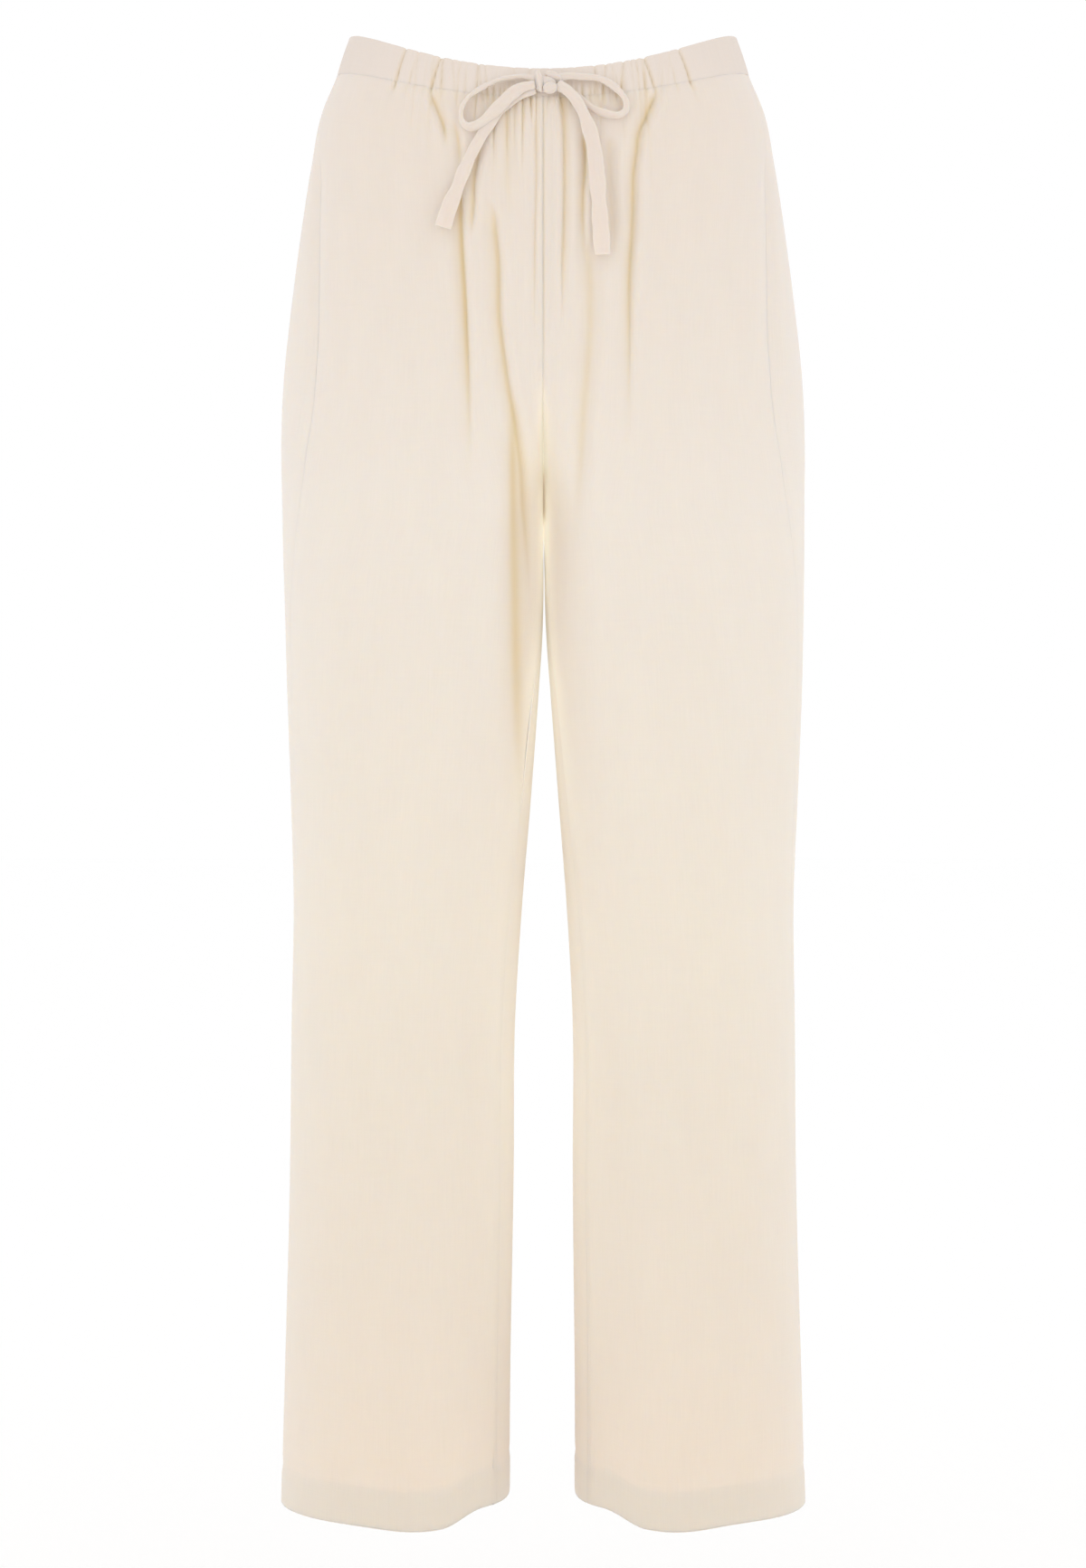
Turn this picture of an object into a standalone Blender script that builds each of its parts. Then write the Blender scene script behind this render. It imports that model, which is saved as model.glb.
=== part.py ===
"""Linen drawstring trousers, filled out as on a general figure and open at the waist and both hems.

Each cut piece is its own object: two fronts, two backs, a waistband in two halves, two turned-up hems, and
a flat tie made of a knot, two loops and two tails. Metres, +Z up. The front faces -Y, and left and right are
the wearer's. The origin is in the middle of the waist, at half the height of the waistband's side seams.
"""
import bpy
import numpy as np

# Cloth
CLOTH_WALL = 0.0012          # one layer of linen, with the air that it holds
BAND_WALL = 0.0024           # gathered casing, two layers round an elastic
BAND_PROUD = 0.0006          # how far the gathered casing stands out past the panels
SEAM_GAP = 0.0007            # between the outer faces of two panels at a seam
TOUCH_GAP = 0.00045          # between a layer and the layer that it lies on
BAND_GAP = 0.0009            # between the waistband's lower edge and the panels' upper edge

# Heights along the side seam
BAND_TOP = 0.012
BAND_SEAM = -0.014           # waistband to panels
CROTCH = -0.288
HEM = -1.0338
HEM_DEPTH = 0.026            # height of the turned-up hem

# The waist dips at the centre front, and a little at the centre back
DIP_ROWS = (                 # height, dip at the front, dip at the back
    (BAND_TOP, 0.0390, 0.0040),
    (BAND_SEAM, 0.0330, 0.0040),
    (-0.080, 0.0240, 0.0028),
    (-0.160, 0.0100, 0.0012),
    (-0.240, 0.0010, 0.0000),
    (CROTCH, 0.0000, 0.0000),
)

# Level sections: height, half width over both legs, depth in front and behind, half the space between legs
SECTIONS = (
    (BAND_TOP, 0.1390, 0.0970, 0.0990, 0.0),
    (BAND_SEAM, 0.1475, 0.1080, 0.1080, 0.0),
    (-0.0426, 0.1590, 0.1135, 0.1180, 0.0),
    (-0.0750, 0.1653, 0.1160, 0.1260, 0.0),
    (-0.1270, 0.1734, 0.1180, 0.1330, 0.0),
    (-0.1790, 0.1802, 0.1180, 0.1360, 0.0),
    (-0.2310, 0.1857, 0.1170, 0.1330, 0.0),
    (CROTCH, 0.1878, 0.1150, 0.1250, 0.0004),
    (-0.3120, 0.1875, 0.1140, 0.1220, 0.0014),
    (-0.3500, 0.1871, 0.1120, 0.1170, 0.0009),
    (-0.4100, 0.1857, 0.1080, 0.1110, 0.0012),
    (-0.4520, 0.1845, 0.1050, 0.1070, 0.0039),
    (-0.5300, 0.1818, 0.1000, 0.1010, 0.0098),
    (-0.6080, 0.1797, 0.0950, 0.0960, 0.0159),
    (-0.6860, 0.1812, 0.0910, 0.0920, 0.0203),
    (-0.8020, 0.1826, 0.0870, 0.0890, 0.0214),
    (-0.9580, 0.1866, 0.0850, 0.0870, 0.0237),
    (HEM, 0.1885, 0.0840, 0.0860, 0.0241),
)

# Seams that show from the front: height, side seam in from the outer edge, inseam in from the inner edge
SEAM_ROWS = (
    (BAND_TOP, 0.0020, 0.0),
    (BAND_SEAM, 0.0030, 0.0),
    (-0.0750, 0.0075, 0.0),
    (-0.1530, 0.0180, 0.0),
    (-0.2180, 0.0250, 0.0),
    (-0.2600, 0.0260, 0.0),
    (CROTCH, 0.0220, 0.0),
    (-0.3740, 0.0090, 0.0012),
    (-0.5000, 0.0050, 0.0050),
    (-0.6200, 0.0030, 0.0075),
    (-0.8000, 0.0020, 0.0080),
    (HEM, 0.0020, 0.0080),
)

# Largest folds: across and height at the top, middle and foot, then half width and depth of the trough
FRONT_FOLDS = (
    (-0.0640, -0.050, -0.0560, -0.150, -0.0515, -0.285, 0.0085, 0.0030),
    (-0.0370, -0.105, -0.0236, -0.252, -0.0150, -0.420, 0.0090, 0.0036),
    (0.0118, -0.048, 0.0132, -0.105, 0.0124, -0.172, 0.0070, 0.0026),
    (0.0285, -0.070, 0.0323, -0.190, 0.0223, -0.350, 0.0090, 0.0032),
    (0.0735, -0.048, 0.0640, -0.130, 0.0605, -0.250, 0.0085, 0.0030),
)
BACK_FOLDS = (
    (-0.0800, -0.020, -0.0720, -0.110, -0.0660, -0.220, 0.0095, 0.0030),
    (-0.0340, -0.020, -0.0310, -0.120, -0.0250, -0.260, 0.0095, 0.0034),
    (0.0260, -0.020, 0.0290, -0.100, 0.0270, -0.200, 0.0085, 0.0028),
    (0.0760, -0.020, 0.0720, -0.130, 0.0630, -0.270, 0.0095, 0.0032),
)
FOLD_END = 0.035             # length over which a fold fades in and out
FOLD_FACING = 0.060          # depth from the middle past which the face is square enough to take a full fold

# How the seat opens into two legs
FRONT_FORK = 0.105           # height of the front crotch curve
BACK_FORK = 0.150            # height of the back crotch curve
FORK_SPREAD = 0.90           # how much longer the change takes away from the centre seam
FORK_SOFTEN = 10.0           # how softly it ends away from the centre seam
SIDE_FULLNESS = 0.12         # squareness of the seat at its sides
FULLNESS_FOOT = 0.150        # how far below the crotch the sides are round again
FULLNESS_FADE = 0.200        # height over which they become round

# Hem line
HEM_FRONT_DIP = 0.0060
HEM_DIP_PLACE, HEM_DIP_SPREAD = -0.20, 0.50      # across a leg, from -1 at its inner to 1 at its outer edge
HEM_INNER_RISE = 0.0085
HEM_RISE_START, HEM_RISE_SPREAD = -0.42, 0.38    # the same, towards the inner edge
HEM_FADE = 0.150             # height over which the hem line's shape dies out

# Mesh density
BODY_ROWS, LEG_ROWS = 12, 11
FRONT_COLUMNS, BACK_COLUMNS = 18, 16
BAND_ROWS, BAND_COLUMNS = 2, 36
RING_SAMPLES = 140
STEADY_ACROSS = 0.012        # distance from the inner edge where the columns stop following it
INNER_CROWDING = 4

# Tie: a flat tape, its cords plain here. Each row: across, height, distance in front of the cloth
CORD_DIAMETER = 0.0032
CORD_STEP = 2.5              # diameters from point to point
KNOT_CENTRE = (0.0019, -0.0408)
KNOT_HALF_SIZE = (0.0070, 0.0042, 0.0080)
KNOT_STANDOFF = 0.0061
RIGHT_LOOP = (
    (-0.0040, -0.0356, 0.0053), (-0.0136, -0.0337, 0.0050), (-0.0229, -0.0343, 0.0050),
    (-0.0316, -0.0368, 0.0050), (-0.0415, -0.0417, 0.0050), (-0.0502, -0.0479, 0.0050),
    (-0.0551, -0.0547, 0.0050), (-0.0564, -0.0615, 0.0052), (-0.0545, -0.0676, 0.0056),
    (-0.0496, -0.0702, 0.0060), (-0.0427, -0.0677, 0.0066), (-0.0359, -0.0621, 0.0072),
    (-0.0291, -0.0553, 0.0076), (-0.0217, -0.0479, 0.0078), (-0.0146, -0.0430, 0.0078),
    (-0.0058, -0.0404, 0.0068),
)
LEFT_LOOP = (
    (0.0087, -0.0354, 0.0052), (0.0160, -0.0337, 0.0052), (0.0248, -0.0337, 0.0052),
    (0.0341, -0.0343, 0.0050), (0.0415, -0.0361, 0.0048), (0.0483, -0.0405, 0.0047),
    (0.0539, -0.0460, 0.0046), (0.0570, -0.0522, 0.0046), (0.0566, -0.0584, 0.0046),
    (0.0516, -0.0615, 0.0046), (0.0446, -0.0609, 0.0044), (0.0372, -0.0584, 0.0038),
    (0.0303, -0.0541, 0.0031), (0.0244, -0.0494, 0.0026), (0.0182, -0.0452, 0.0025),
    (0.0093, -0.0420, 0.0034),
)
RIGHT_TAIL = (
    (-0.0054, -0.0434, 0.0032), (-0.0140, -0.0466, 0.0027), (-0.0215, -0.0512, 0.0028),
    (-0.0297, -0.0584, 0.0030), (-0.0352, -0.0650, 0.0033), (-0.0396, -0.0718, 0.0038),
    (-0.0436, -0.0790, 0.0044), (-0.0478, -0.0865, 0.0050), (-0.0515, -0.0945, 0.0055),
    (-0.0552, -0.1030, 0.0059), (-0.0590, -0.1130, 0.0063), (-0.0630, -0.1225, 0.0067),
    (-0.0664, -0.1320, 0.0070), (-0.0686, -0.1395, 0.0073),
)
LEFT_TAIL = (
    (0.0100, -0.0400, 0.0072), (0.0155, -0.0442, 0.0078), (0.0212, -0.0500, 0.0079),
    (0.0256, -0.0570, 0.0077), (0.0290, -0.0645, 0.0072), (0.0318, -0.0725, 0.0067),
    (0.0341, -0.0810, 0.0063), (0.0355, -0.0895, 0.0061), (0.0364, -0.0985, 0.0060),
    (0.0371, -0.1075, 0.0060), (0.0378, -0.1165, 0.0061), (0.0384, -0.1255, 0.0063),
    (0.0390, -0.1345, 0.0065), (0.0396, -0.1430, 0.0068), (0.0402, -0.1515, 0.0071),
    (0.0407, -0.1590, 0.0074),
)

# Colours
LINEN = (0.86, 0.78, 0.67, 1.0)
LINEN_SHADED = (0.80, 0.71, 0.60, 1.0)
TAPE = (0.84, 0.77, 0.66, 1.0)

COLLECTION_NAME = "linen_drawstring_trousers"
SIDES = (("left", 1.0), ("right", -1.0))


def smooth_step(value):
    """Ease from 0 to 1 with flat ends."""
    value = np.clip(value, 0.0, 1.0)
    return value * value * (3.0 - 2.0 * value)


def read_table(rows, column, height):
    """Read a column at a height, on a cubic curve through a table's rows, which run from top to bottom."""
    table = np.array(rows)[::-1]
    heights, values = table[:, 0], table[:, column]
    slopes = np.gradient(values, heights)
    lower = np.clip(np.searchsorted(heights, height) - 1, 0, len(heights) - 2)
    step = heights[lower + 1] - heights[lower]
    t = np.clip((height - heights[lower]) / step, 0.0, 1.0)
    return (values[lower] * (1 + 2 * t) * (1 - t) ** 2 + values[lower + 1] * t * t * (3 - 2 * t)
            + step * (slopes[lower] * t * (1 - t) ** 2 - slopes[lower + 1] * t * t * (1 - t)))


def depth_share(across, height, fork):
    """Share of the full depth, across one half, from 0 at the centre to 1 at the outer side.

    Above the fork the half is half of one oval, and below it is a whole oval, the leg. Between them the
    change starts at the centre seam, where it follows a quarter of an ellipse, and it is slower and softer
    further out.
    """
    start = CROTCH + fork
    change = np.clip((start - height) / (fork + FORK_SPREAD * across), 0.0, 1.0)
    one_oval = (1.0 - change ** 2) ** (1.0 + FORK_SOFTEN * across)
    share = np.sqrt((1.0 - across) * (4.0 * across + (1.0 - 3.0 * across) * one_oval))
    return share * (1.0 + SIDE_FULLNESS * across ** 2 * smooth_step((height - CROTCH + FULLNESS_FOOT)
                                                                 / FULLNESS_FADE))


def half_ring(height):
    """One level ring of the left half: points from the inner front over the outer side to the inner back."""
    width = read_table(SECTIONS, 1, height)
    inner = max(read_table(SECTIONS, 4, height), 0.5 * SEAM_GAP)
    across = np.sin(np.linspace(0.0, np.pi / 2, RING_SAMPLES)) ** 2
    front = -read_table(SECTIONS, 2, height) * depth_share(across, height, FRONT_FORK)
    back = read_table(SECTIONS, 3, height) * depth_share(across, height, BACK_FORK)
    x = inner + (width - inner) * across
    front_z = height - read_table(DIP_ROWS, 1, height) * (1.0 - across ** 2)
    back_z = height - read_table(DIP_ROWS, 2, height) * (1.0 - across ** 2)
    hem = smooth_step(1.0 - (height - HEM) / HEM_FADE)
    side = 2.0 * across - 1.0
    rise = HEM_INNER_RISE * smooth_step((HEM_RISE_START - side) / HEM_RISE_SPREAD)
    dip_bell = np.exp(-((side - HEM_DIP_PLACE) / HEM_DIP_SPREAD) ** 2)
    dip = HEM_FRONT_DIP * dip_bell * np.sqrt(1.0 - side ** 2)
    front_z += hem * (rise - dip)
    back_z += hem * rise
    ring_x = np.concatenate((x, x[-2::-1]))
    ring_y = np.concatenate((front, back[-2::-1]))
    ring_z = np.concatenate((front_z, back_z[-2::-1]))
    return np.stack((ring_x, ring_y, ring_z), axis=1)


def seam_places(ring, height):
    """Lengths along a half ring at the inseam and at the side seam, and the lengths at all its points."""
    steps = np.linalg.norm(np.diff(ring, axis=0), axis=1)
    lengths = np.concatenate(((0.0,), np.cumsum(steps)))
    front = slice(0, RING_SAMPLES)
    side = np.interp(ring[front, 0].max() - read_table(SEAM_ROWS, 1, height), ring[front, 0], lengths[front])
    inseam = 0.0
    if height < CROTCH:
        inseam = np.interp(ring[0, 0] + read_table(SEAM_ROWS, 2, height), ring[front, 0], lengths[front])
    return inseam, side, lengths


def points_along(ring, lengths, wanted):
    """Points of a half ring at the wanted lengths, running on past its end into its start."""
    once_more = slice(1, RING_SAMPLES)
    all_lengths = np.concatenate((lengths, lengths[-1] + lengths[once_more]))
    all_points = np.concatenate((ring, ring[once_more]))
    return np.stack([np.interp(wanted, all_lengths, all_points[:, axis]) for axis in range(3)], axis=1)


def column_places(side, steady, end, columns):
    """Lengths from the side seam to the inner edge, even but for the last few past the steady part.

    The steady part reaches a small share of the way from the centre, so it changes slowly from row to row,
    and the columns there stay upright past the crotch curve.
    """
    share = np.linspace(0.0, 1.0, columns + 1)
    even = side + (steady - side) * share
    return even + (end - steady) * share ** INNER_CROWDING


def panel_row(height, is_front, columns):
    """Points of one row of the left front or back panel."""
    ring = half_ring(height)
    inseam, side, lengths = seam_places(ring, height)
    end_gap = 0.5 * SEAM_GAP if height <= CROTCH else 0.0
    steady_x = ring[0, 0] + STEADY_ACROSS
    if is_front:
        front = slice(0, RING_SAMPLES)
        steady = np.interp(steady_x, ring[front, 0], lengths[front])
        places = column_places(side - 0.5 * SEAM_GAP, steady, inseam + end_gap, columns)[::-1]
    else:
        back = slice(None, RING_SAMPLES - 2, -1)
        steady = np.interp(steady_x, ring[back, 0], lengths[back])
        places = column_places(side + 0.5 * SEAM_GAP, steady, lengths[-1] + inseam - end_gap, columns)
    return points_along(ring, lengths, places)


def row_heights(top, body_rows, leg_rows):
    """Row heights from the waist seam to the hem, closest at the crotch."""
    body = top + (CROTCH - top) * np.sin(np.linspace(0.0, np.pi / 2, body_rows + 1))
    leg = CROTCH + (HEM - CROTCH) * (1.0 - np.cos(np.linspace(0.0, np.pi / 2, leg_rows + 1)))
    return np.concatenate((body, leg[1:]))


def fold_depth(x, z, folds):
    """Depth of the troughs at points: a bell across each fold's curve through its top, middle and foot."""
    depth = np.zeros_like(x)
    for top_x, top_z, mid_x, mid_z, foot_x, foot_z, half_width, trough in folds:
        line = (top_x * (z - mid_z) * (z - foot_z) / ((top_z - mid_z) * (top_z - foot_z))
                + mid_x * (z - top_z) * (z - foot_z) / ((mid_z - top_z) * (mid_z - foot_z))
                + foot_x * (z - top_z) * (z - mid_z) / ((foot_z - top_z) * (foot_z - mid_z)))
        fade = smooth_step((top_z - z) / FOLD_END) * smooth_step((z - foot_z) / FOLD_END)
        depth += trough * fade * np.exp(-((x - line) / half_width) ** 2)
    return depth


def press_folds(points, mirror):
    """Move points inwards along the depth by the folds of the face that they are on."""
    x, y, z = points[..., 0] * mirror, points[..., 1], points[..., 2]
    facing = np.clip(np.abs(y) / FOLD_FACING, 0.0, 1.0)
    trough = np.where(y < 0.0, fold_depth(x, z, FRONT_FOLDS), -fold_depth(x, z, BACK_FOLDS))
    pressed = points.copy()
    pressed[..., 1] += trough * facing
    return pressed


def panel_grid(is_front, mirror):
    """Grid of one panel on the side that the mirror sign gives, folds pressed in."""
    columns = FRONT_COLUMNS if is_front else BACK_COLUMNS
    heights = row_heights(BAND_SEAM - 0.5 * BAND_GAP, BODY_ROWS, LEG_ROWS)
    grid = np.array([panel_row(height, is_front, columns) for height in heights])
    return press_folds(grid, mirror)


def hem_grid(mirror):
    """Closed ring of the turned-up hem, made from the panels' points, as tall as the hem."""
    rows = []
    for height in (HEM + HEM_DEPTH, HEM + 0.5 * HEM_DEPTH, HEM + SEAM_GAP):
        front = panel_row(height, True, FRONT_COLUMNS)
        back = panel_row(height, False, BACK_COLUMNS)
        rows.append(np.concatenate((front, back)))
    return press_folds(np.array(rows), mirror)


def band_grid(is_front):
    """Grid of the front or back half of the waistband, from one side seam to the other."""
    rows = []
    for height in np.linspace(BAND_TOP, BAND_SEAM + 0.5 * BAND_GAP, BAND_ROWS + 1):
        ring = half_ring(height)
        _, side, lengths = seam_places(ring, height)
        if is_front:
            wanted = np.linspace(0.0, side - 0.5 * SEAM_GAP, BAND_COLUMNS // 2 + 1)
        else:
            wanted = np.linspace(side + 0.5 * SEAM_GAP, lengths[-1], BAND_COLUMNS // 2 + 1)[::-1]
        left = points_along(ring, lengths, wanted)
        left[0, 0] = 0.0
        right = left[:0:-1] * (-1.0, 1.0, 1.0)
        rows.append(np.concatenate((right, left)))
    return np.array(rows)


def make_material(name, colour, roughness):
    """Plain cloth material."""
    material = bpy.data.materials.new(name)
    material.use_nodes = True
    shader = material.node_tree.nodes["Principled BSDF"]
    shader.inputs["Base Color"].default_value = colour
    shader.inputs["Roughness"].default_value = roughness
    shader.inputs["Metallic"].default_value = 0.0
    return material


def grid_object(name, grid, closed, outward, wall, offset, material):
    """Open loft between unlike rows, made a wall by Solidify on its inner side.

    The outward sign is 1 where the rows, seen from outside with their first row on top, run to the right.
    """
    rows, columns = grid.shape[:2]
    wrap = columns if closed else columns - 1
    faces = []
    for row in range(rows - 1):
        for column in range(wrap):
            after = (column + 1) % columns
            corner = (row * columns + column, (row + 1) * columns + column,
                      (row + 1) * columns + after, row * columns + after)
            faces.append(corner if outward > 0 else corner[::-1])
    mesh = bpy.data.meshes.new(name)
    mesh.from_pydata(grid.reshape(-1, 3).tolist(), [], faces)
    mesh.shade_smooth()
    mesh.materials.append(material)
    piece = bpy.data.objects.new(name, mesh)
    parts.objects.link(piece)
    solidify = piece.modifiers.new("wall", "SOLIDIFY")
    solidify.thickness = wall
    solidify.offset = offset
    solidify.use_even_offset = False
    return piece


def moved_inwards(grid, distance):
    """A closed ring's points, moved inwards across the ring's own normal."""
    along = np.roll(grid, -1, axis=1) - np.roll(grid, 1, axis=1)
    down = np.gradient(grid, axis=0)
    normal = np.cross(down, along)
    normal /= np.linalg.norm(normal, axis=2, keepdims=True)
    return grid - normal * distance


def front_depth(x, z):
    """Depth of the waistband's or front panel's face at a point seen from the front."""
    heights = np.linspace(BAND_TOP, CROTCH, 120)
    widths = np.array([read_table(SECTIONS, 1, height) for height in heights])
    across = np.clip(abs(x) / widths, 0.0, 1.0)
    dips = np.array([read_table(DIP_ROWS, 1, height) for height in heights])
    levels = heights - dips * (1.0 - across ** 2)
    depths = np.array([read_table(SECTIONS, 2, height) * depth_share(share, height, FRONT_FORK)
                       for height, share in zip(heights, across)])
    return -np.interp(z, levels[::-1], depths[::-1])


def smooth_route(points):
    """Even points on a smooth curve through a route: cubics whose slopes come from their neighbours."""
    places = np.arange(len(points), dtype=float)
    slopes = np.gradient(points, axis=0)
    fine = np.linspace(0.0, places[-1], 12 * len(points))
    lower = np.minimum(fine.astype(int), len(points) - 2)
    t = (fine - lower)[:, None]
    curve = (points[lower] * (1 + 2 * t) * (1 - t) ** 2 + points[lower + 1] * t * t * (3 - 2 * t)
             + slopes[lower] * t * (1 - t) ** 2 - slopes[lower + 1] * t * t * (1 - t))
    lengths = np.concatenate(((0.0,), np.cumsum(np.linalg.norm(np.diff(curve, axis=0), axis=1))))
    even = np.linspace(0.0, lengths[-1], round(lengths[-1] / (CORD_STEP * CORD_DIAMETER)) + 1)
    return np.stack([np.interp(even, lengths, curve[:, axis]) for axis in range(3)], axis=1)


def cord_object(name, route, material):
    """Plain cord with filled caps, along a smooth curve through its route's points."""
    rows = [(x, front_depth(x, z) - standoff - BAND_PROUD, z) for x, z, standoff in route]
    points = smooth_route(np.array(rows))
    curve = bpy.data.curves.new(name, "CURVE")
    curve.dimensions = "3D"
    curve.bevel_depth = 0.5 * CORD_DIAMETER
    curve.bevel_resolution = 2
    curve.use_fill_caps = True
    spline = curve.splines.new("POLY")
    spline.points.add(len(points) - 1)
    spline.points.foreach_set("co", np.column_stack((points, np.ones(len(points)))).ravel())
    curve.materials.append(material)
    cord = bpy.data.objects.new(name, curve)
    parts.objects.link(cord)
    return cord


def make_panels(material):
    """Two fronts and two backs."""
    for side_name, mirror in SIDES:
        for face_name, is_front in (("front", True), ("back", False)):
            grid = panel_grid(is_front, mirror) * (mirror, 1.0, 1.0)
            grid_object(f"{face_name}_panel_{side_name}", grid, False, mirror, CLOTH_WALL, -1.0, material)


def make_hems(material):
    """The turned-up hem inside each leg."""
    for side_name, mirror in SIDES:
        grid = moved_inwards(hem_grid(mirror), CLOTH_WALL + TOUCH_GAP)
        grid_object(f"hem_{side_name}", grid * (mirror, 1.0, 1.0), True, mirror, CLOTH_WALL, -1.0, material)


def make_waistband(material):
    """Front and back halves of the gathered casing."""
    outer_share = 2.0 * BAND_PROUD / BAND_WALL - 1.0
    grid_object("waistband_front", band_grid(True), False, 1.0, BAND_WALL, outer_share, material)
    grid_object("waistband_back", band_grid(False), False, -1.0, BAND_WALL, outer_share, material)


def make_tie(material):
    """Knot, two loops and two tails."""
    x, z = KNOT_CENTRE
    depth = front_depth(x, z) - KNOT_STANDOFF - BAND_PROUD
    bpy.ops.mesh.primitive_uv_sphere_add(segments=16, ring_count=10, radius=1.0, location=(x, depth, z))
    knot = bpy.context.object
    knot.name = "bow_knot"
    knot.scale = KNOT_HALF_SIZE
    knot.data.name = "bow_knot"
    knot.data.shade_smooth()
    knot.data.materials.append(material)
    for collection in knot.users_collection:
        collection.objects.unlink(knot)
    parts.objects.link(knot)
    cord_object("bow_loop_left", LEFT_LOOP, material)
    cord_object("bow_loop_right", RIGHT_LOOP, material)
    cord_object("drawstring_tail_left", LEFT_TAIL, material)
    cord_object("drawstring_tail_right", RIGHT_TAIL, material)


for old in list(bpy.data.objects):
    bpy.data.objects.remove(old)
parts = bpy.data.collections.new(COLLECTION_NAME)
bpy.context.scene.collection.children.link(parts)

linen = make_material("linen", LINEN, 0.9)
make_panels(linen)
make_waistband(make_material("linen_gathered", LINEN, 0.9))
make_hems(make_material("linen_turned", LINEN_SHADED, 0.9))
make_tie(make_material("linen_tape", TAPE, 0.9))
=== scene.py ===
"""Linen drawstring trousers, dressed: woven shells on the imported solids, a gathered waistband and a tape.

Metres, +Z up. The front faces -Y, left and right are the wearer's, the origin is in the middle of the waist.
"""
import logging
import math
from dataclasses import dataclass
from enum import Enum
from functools import cache

import bpy
import numpy as np
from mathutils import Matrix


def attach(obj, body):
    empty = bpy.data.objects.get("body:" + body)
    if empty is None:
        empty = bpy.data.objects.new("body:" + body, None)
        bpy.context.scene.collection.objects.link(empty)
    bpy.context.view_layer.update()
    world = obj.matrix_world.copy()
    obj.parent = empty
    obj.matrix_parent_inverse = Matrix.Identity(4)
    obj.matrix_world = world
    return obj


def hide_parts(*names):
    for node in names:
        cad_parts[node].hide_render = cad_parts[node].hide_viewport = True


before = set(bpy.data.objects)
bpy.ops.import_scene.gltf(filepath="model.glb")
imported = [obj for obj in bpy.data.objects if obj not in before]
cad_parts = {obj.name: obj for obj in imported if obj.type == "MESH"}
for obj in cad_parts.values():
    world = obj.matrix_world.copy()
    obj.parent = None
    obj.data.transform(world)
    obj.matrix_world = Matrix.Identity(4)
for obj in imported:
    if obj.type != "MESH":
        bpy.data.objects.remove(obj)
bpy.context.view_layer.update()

LOG = logging.getLogger("trousers")
BODY = "root"
Array = np.ndarray
Socket = bpy.types.NodeSocket

# Heights along the side seam
BAND_TOP = 0.012
BAND_SEAM = -0.014
CROTCH = -0.288
HEM = -1.0338
HEM_DEPTH = 0.026

# The waist dips at the centre front: height, dip at the front, dip at the back
DIP_ROWS = (
    (BAND_TOP, 0.039, 0.004), (BAND_SEAM, 0.033, 0.004), (-0.08, 0.024, 0.0028), (-0.16, 0.01, 0.0012),
    (-0.24, 0.001, 0.0), (CROTCH, 0.0, 0.0),
)

# Level sections: height, half width over both legs, depth in front and behind, half the gap between the legs
SECTIONS = (
    (BAND_TOP, 0.139, 0.097, 0.099, 0.0), (BAND_SEAM, 0.1475, 0.108, 0.108, 0.0),
    (-0.0426, 0.159, 0.1135, 0.118, 0.0), (-0.075, 0.1653, 0.116, 0.126, 0.0),
    (-0.127, 0.1734, 0.118, 0.133, 0.0), (-0.179, 0.1802, 0.118, 0.136, 0.0),
    (-0.231, 0.1857, 0.117, 0.133, 0.0), (CROTCH, 0.1878, 0.115, 0.125, 0.0),
    (-0.312, 0.1875, 0.114, 0.122, 0.0), (-0.35, 0.1871, 0.112, 0.117, 0.0),
    (-0.39, 0.1862, 0.1093, 0.1128, 0.0002), (-0.417, 0.1855, 0.1075, 0.1105, 0.0013),
    (-0.452, 0.1845, 0.105, 0.107, 0.0039), (-0.53, 0.1818, 0.1, 0.101, 0.0098),
    (-0.608, 0.1797, 0.095, 0.096, 0.0159), (-0.686, 0.1812, 0.091, 0.092, 0.0203),
    (-0.802, 0.1826, 0.087, 0.089, 0.0214), (-0.958, 0.1866, 0.085, 0.087, 0.0237),
    (HEM, 0.1885, 0.084, 0.086, 0.0241),
)

# Seams that show from the front: height, side seam in from the outer edge, inseam in from the inner edge
SEAM_ROWS = (
    (BAND_TOP, 0.002, 0.0), (BAND_SEAM, 0.003, 0.0), (-0.075, 0.0075, 0.0), (-0.153, 0.018, 0.0),
    (-0.218, 0.025, 0.0), (-0.26, 0.026, 0.0), (CROTCH, 0.022, 0.0), (-0.374, 0.009, 0.0012),
    (-0.5, 0.005, 0.005), (-0.62, 0.003, 0.0075), (-0.8, 0.002, 0.008), (HEM, 0.002, 0.008),
)


class Side(Enum):
    """The wearer's side of a piece, with the sign of its X."""

    LEFT = 1.0
    RIGHT = -1.0


class Face(Enum):
    """The face of the trousers that a piece is on."""

    FRONT = "front"
    BACK = "back"


def smooth_step(value: Array) -> Array:
    """Ease from 0 to 1 with flat ends."""
    value = np.clip(value, 0.0, 1.0)
    return value * value * (3.0 - 2.0 * value)


def bell(distance: Array, half_width: float) -> Array:
    """Bell curve, 1 at no distance and 1/e at the half width."""
    return np.exp(-((distance / half_width) ** 2))


def run_lengths(points: Array) -> Array:
    """Lengths along a line of points, or along each row of a grid, from 0 at its first point."""
    steps = np.linalg.norm(np.diff(points, axis=-2), axis=-1)
    return np.concatenate((np.zeros((*steps.shape[:-1], 1)), np.cumsum(steps, axis=-1)), axis=-1)


def at_lengths(places: Array, lengths: Array, rows: Array) -> Array:
    """Rows of a table at some lengths along it."""
    return np.stack([np.interp(places, lengths, column) for column in rows.T], axis=1)


def flat_grid(across: Array, down: Array) -> Array:
    """Flat coordinates of a grid, from its lengths across and down."""
    return np.stack(np.broadcast_arrays(across, down), axis=2)


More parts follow.
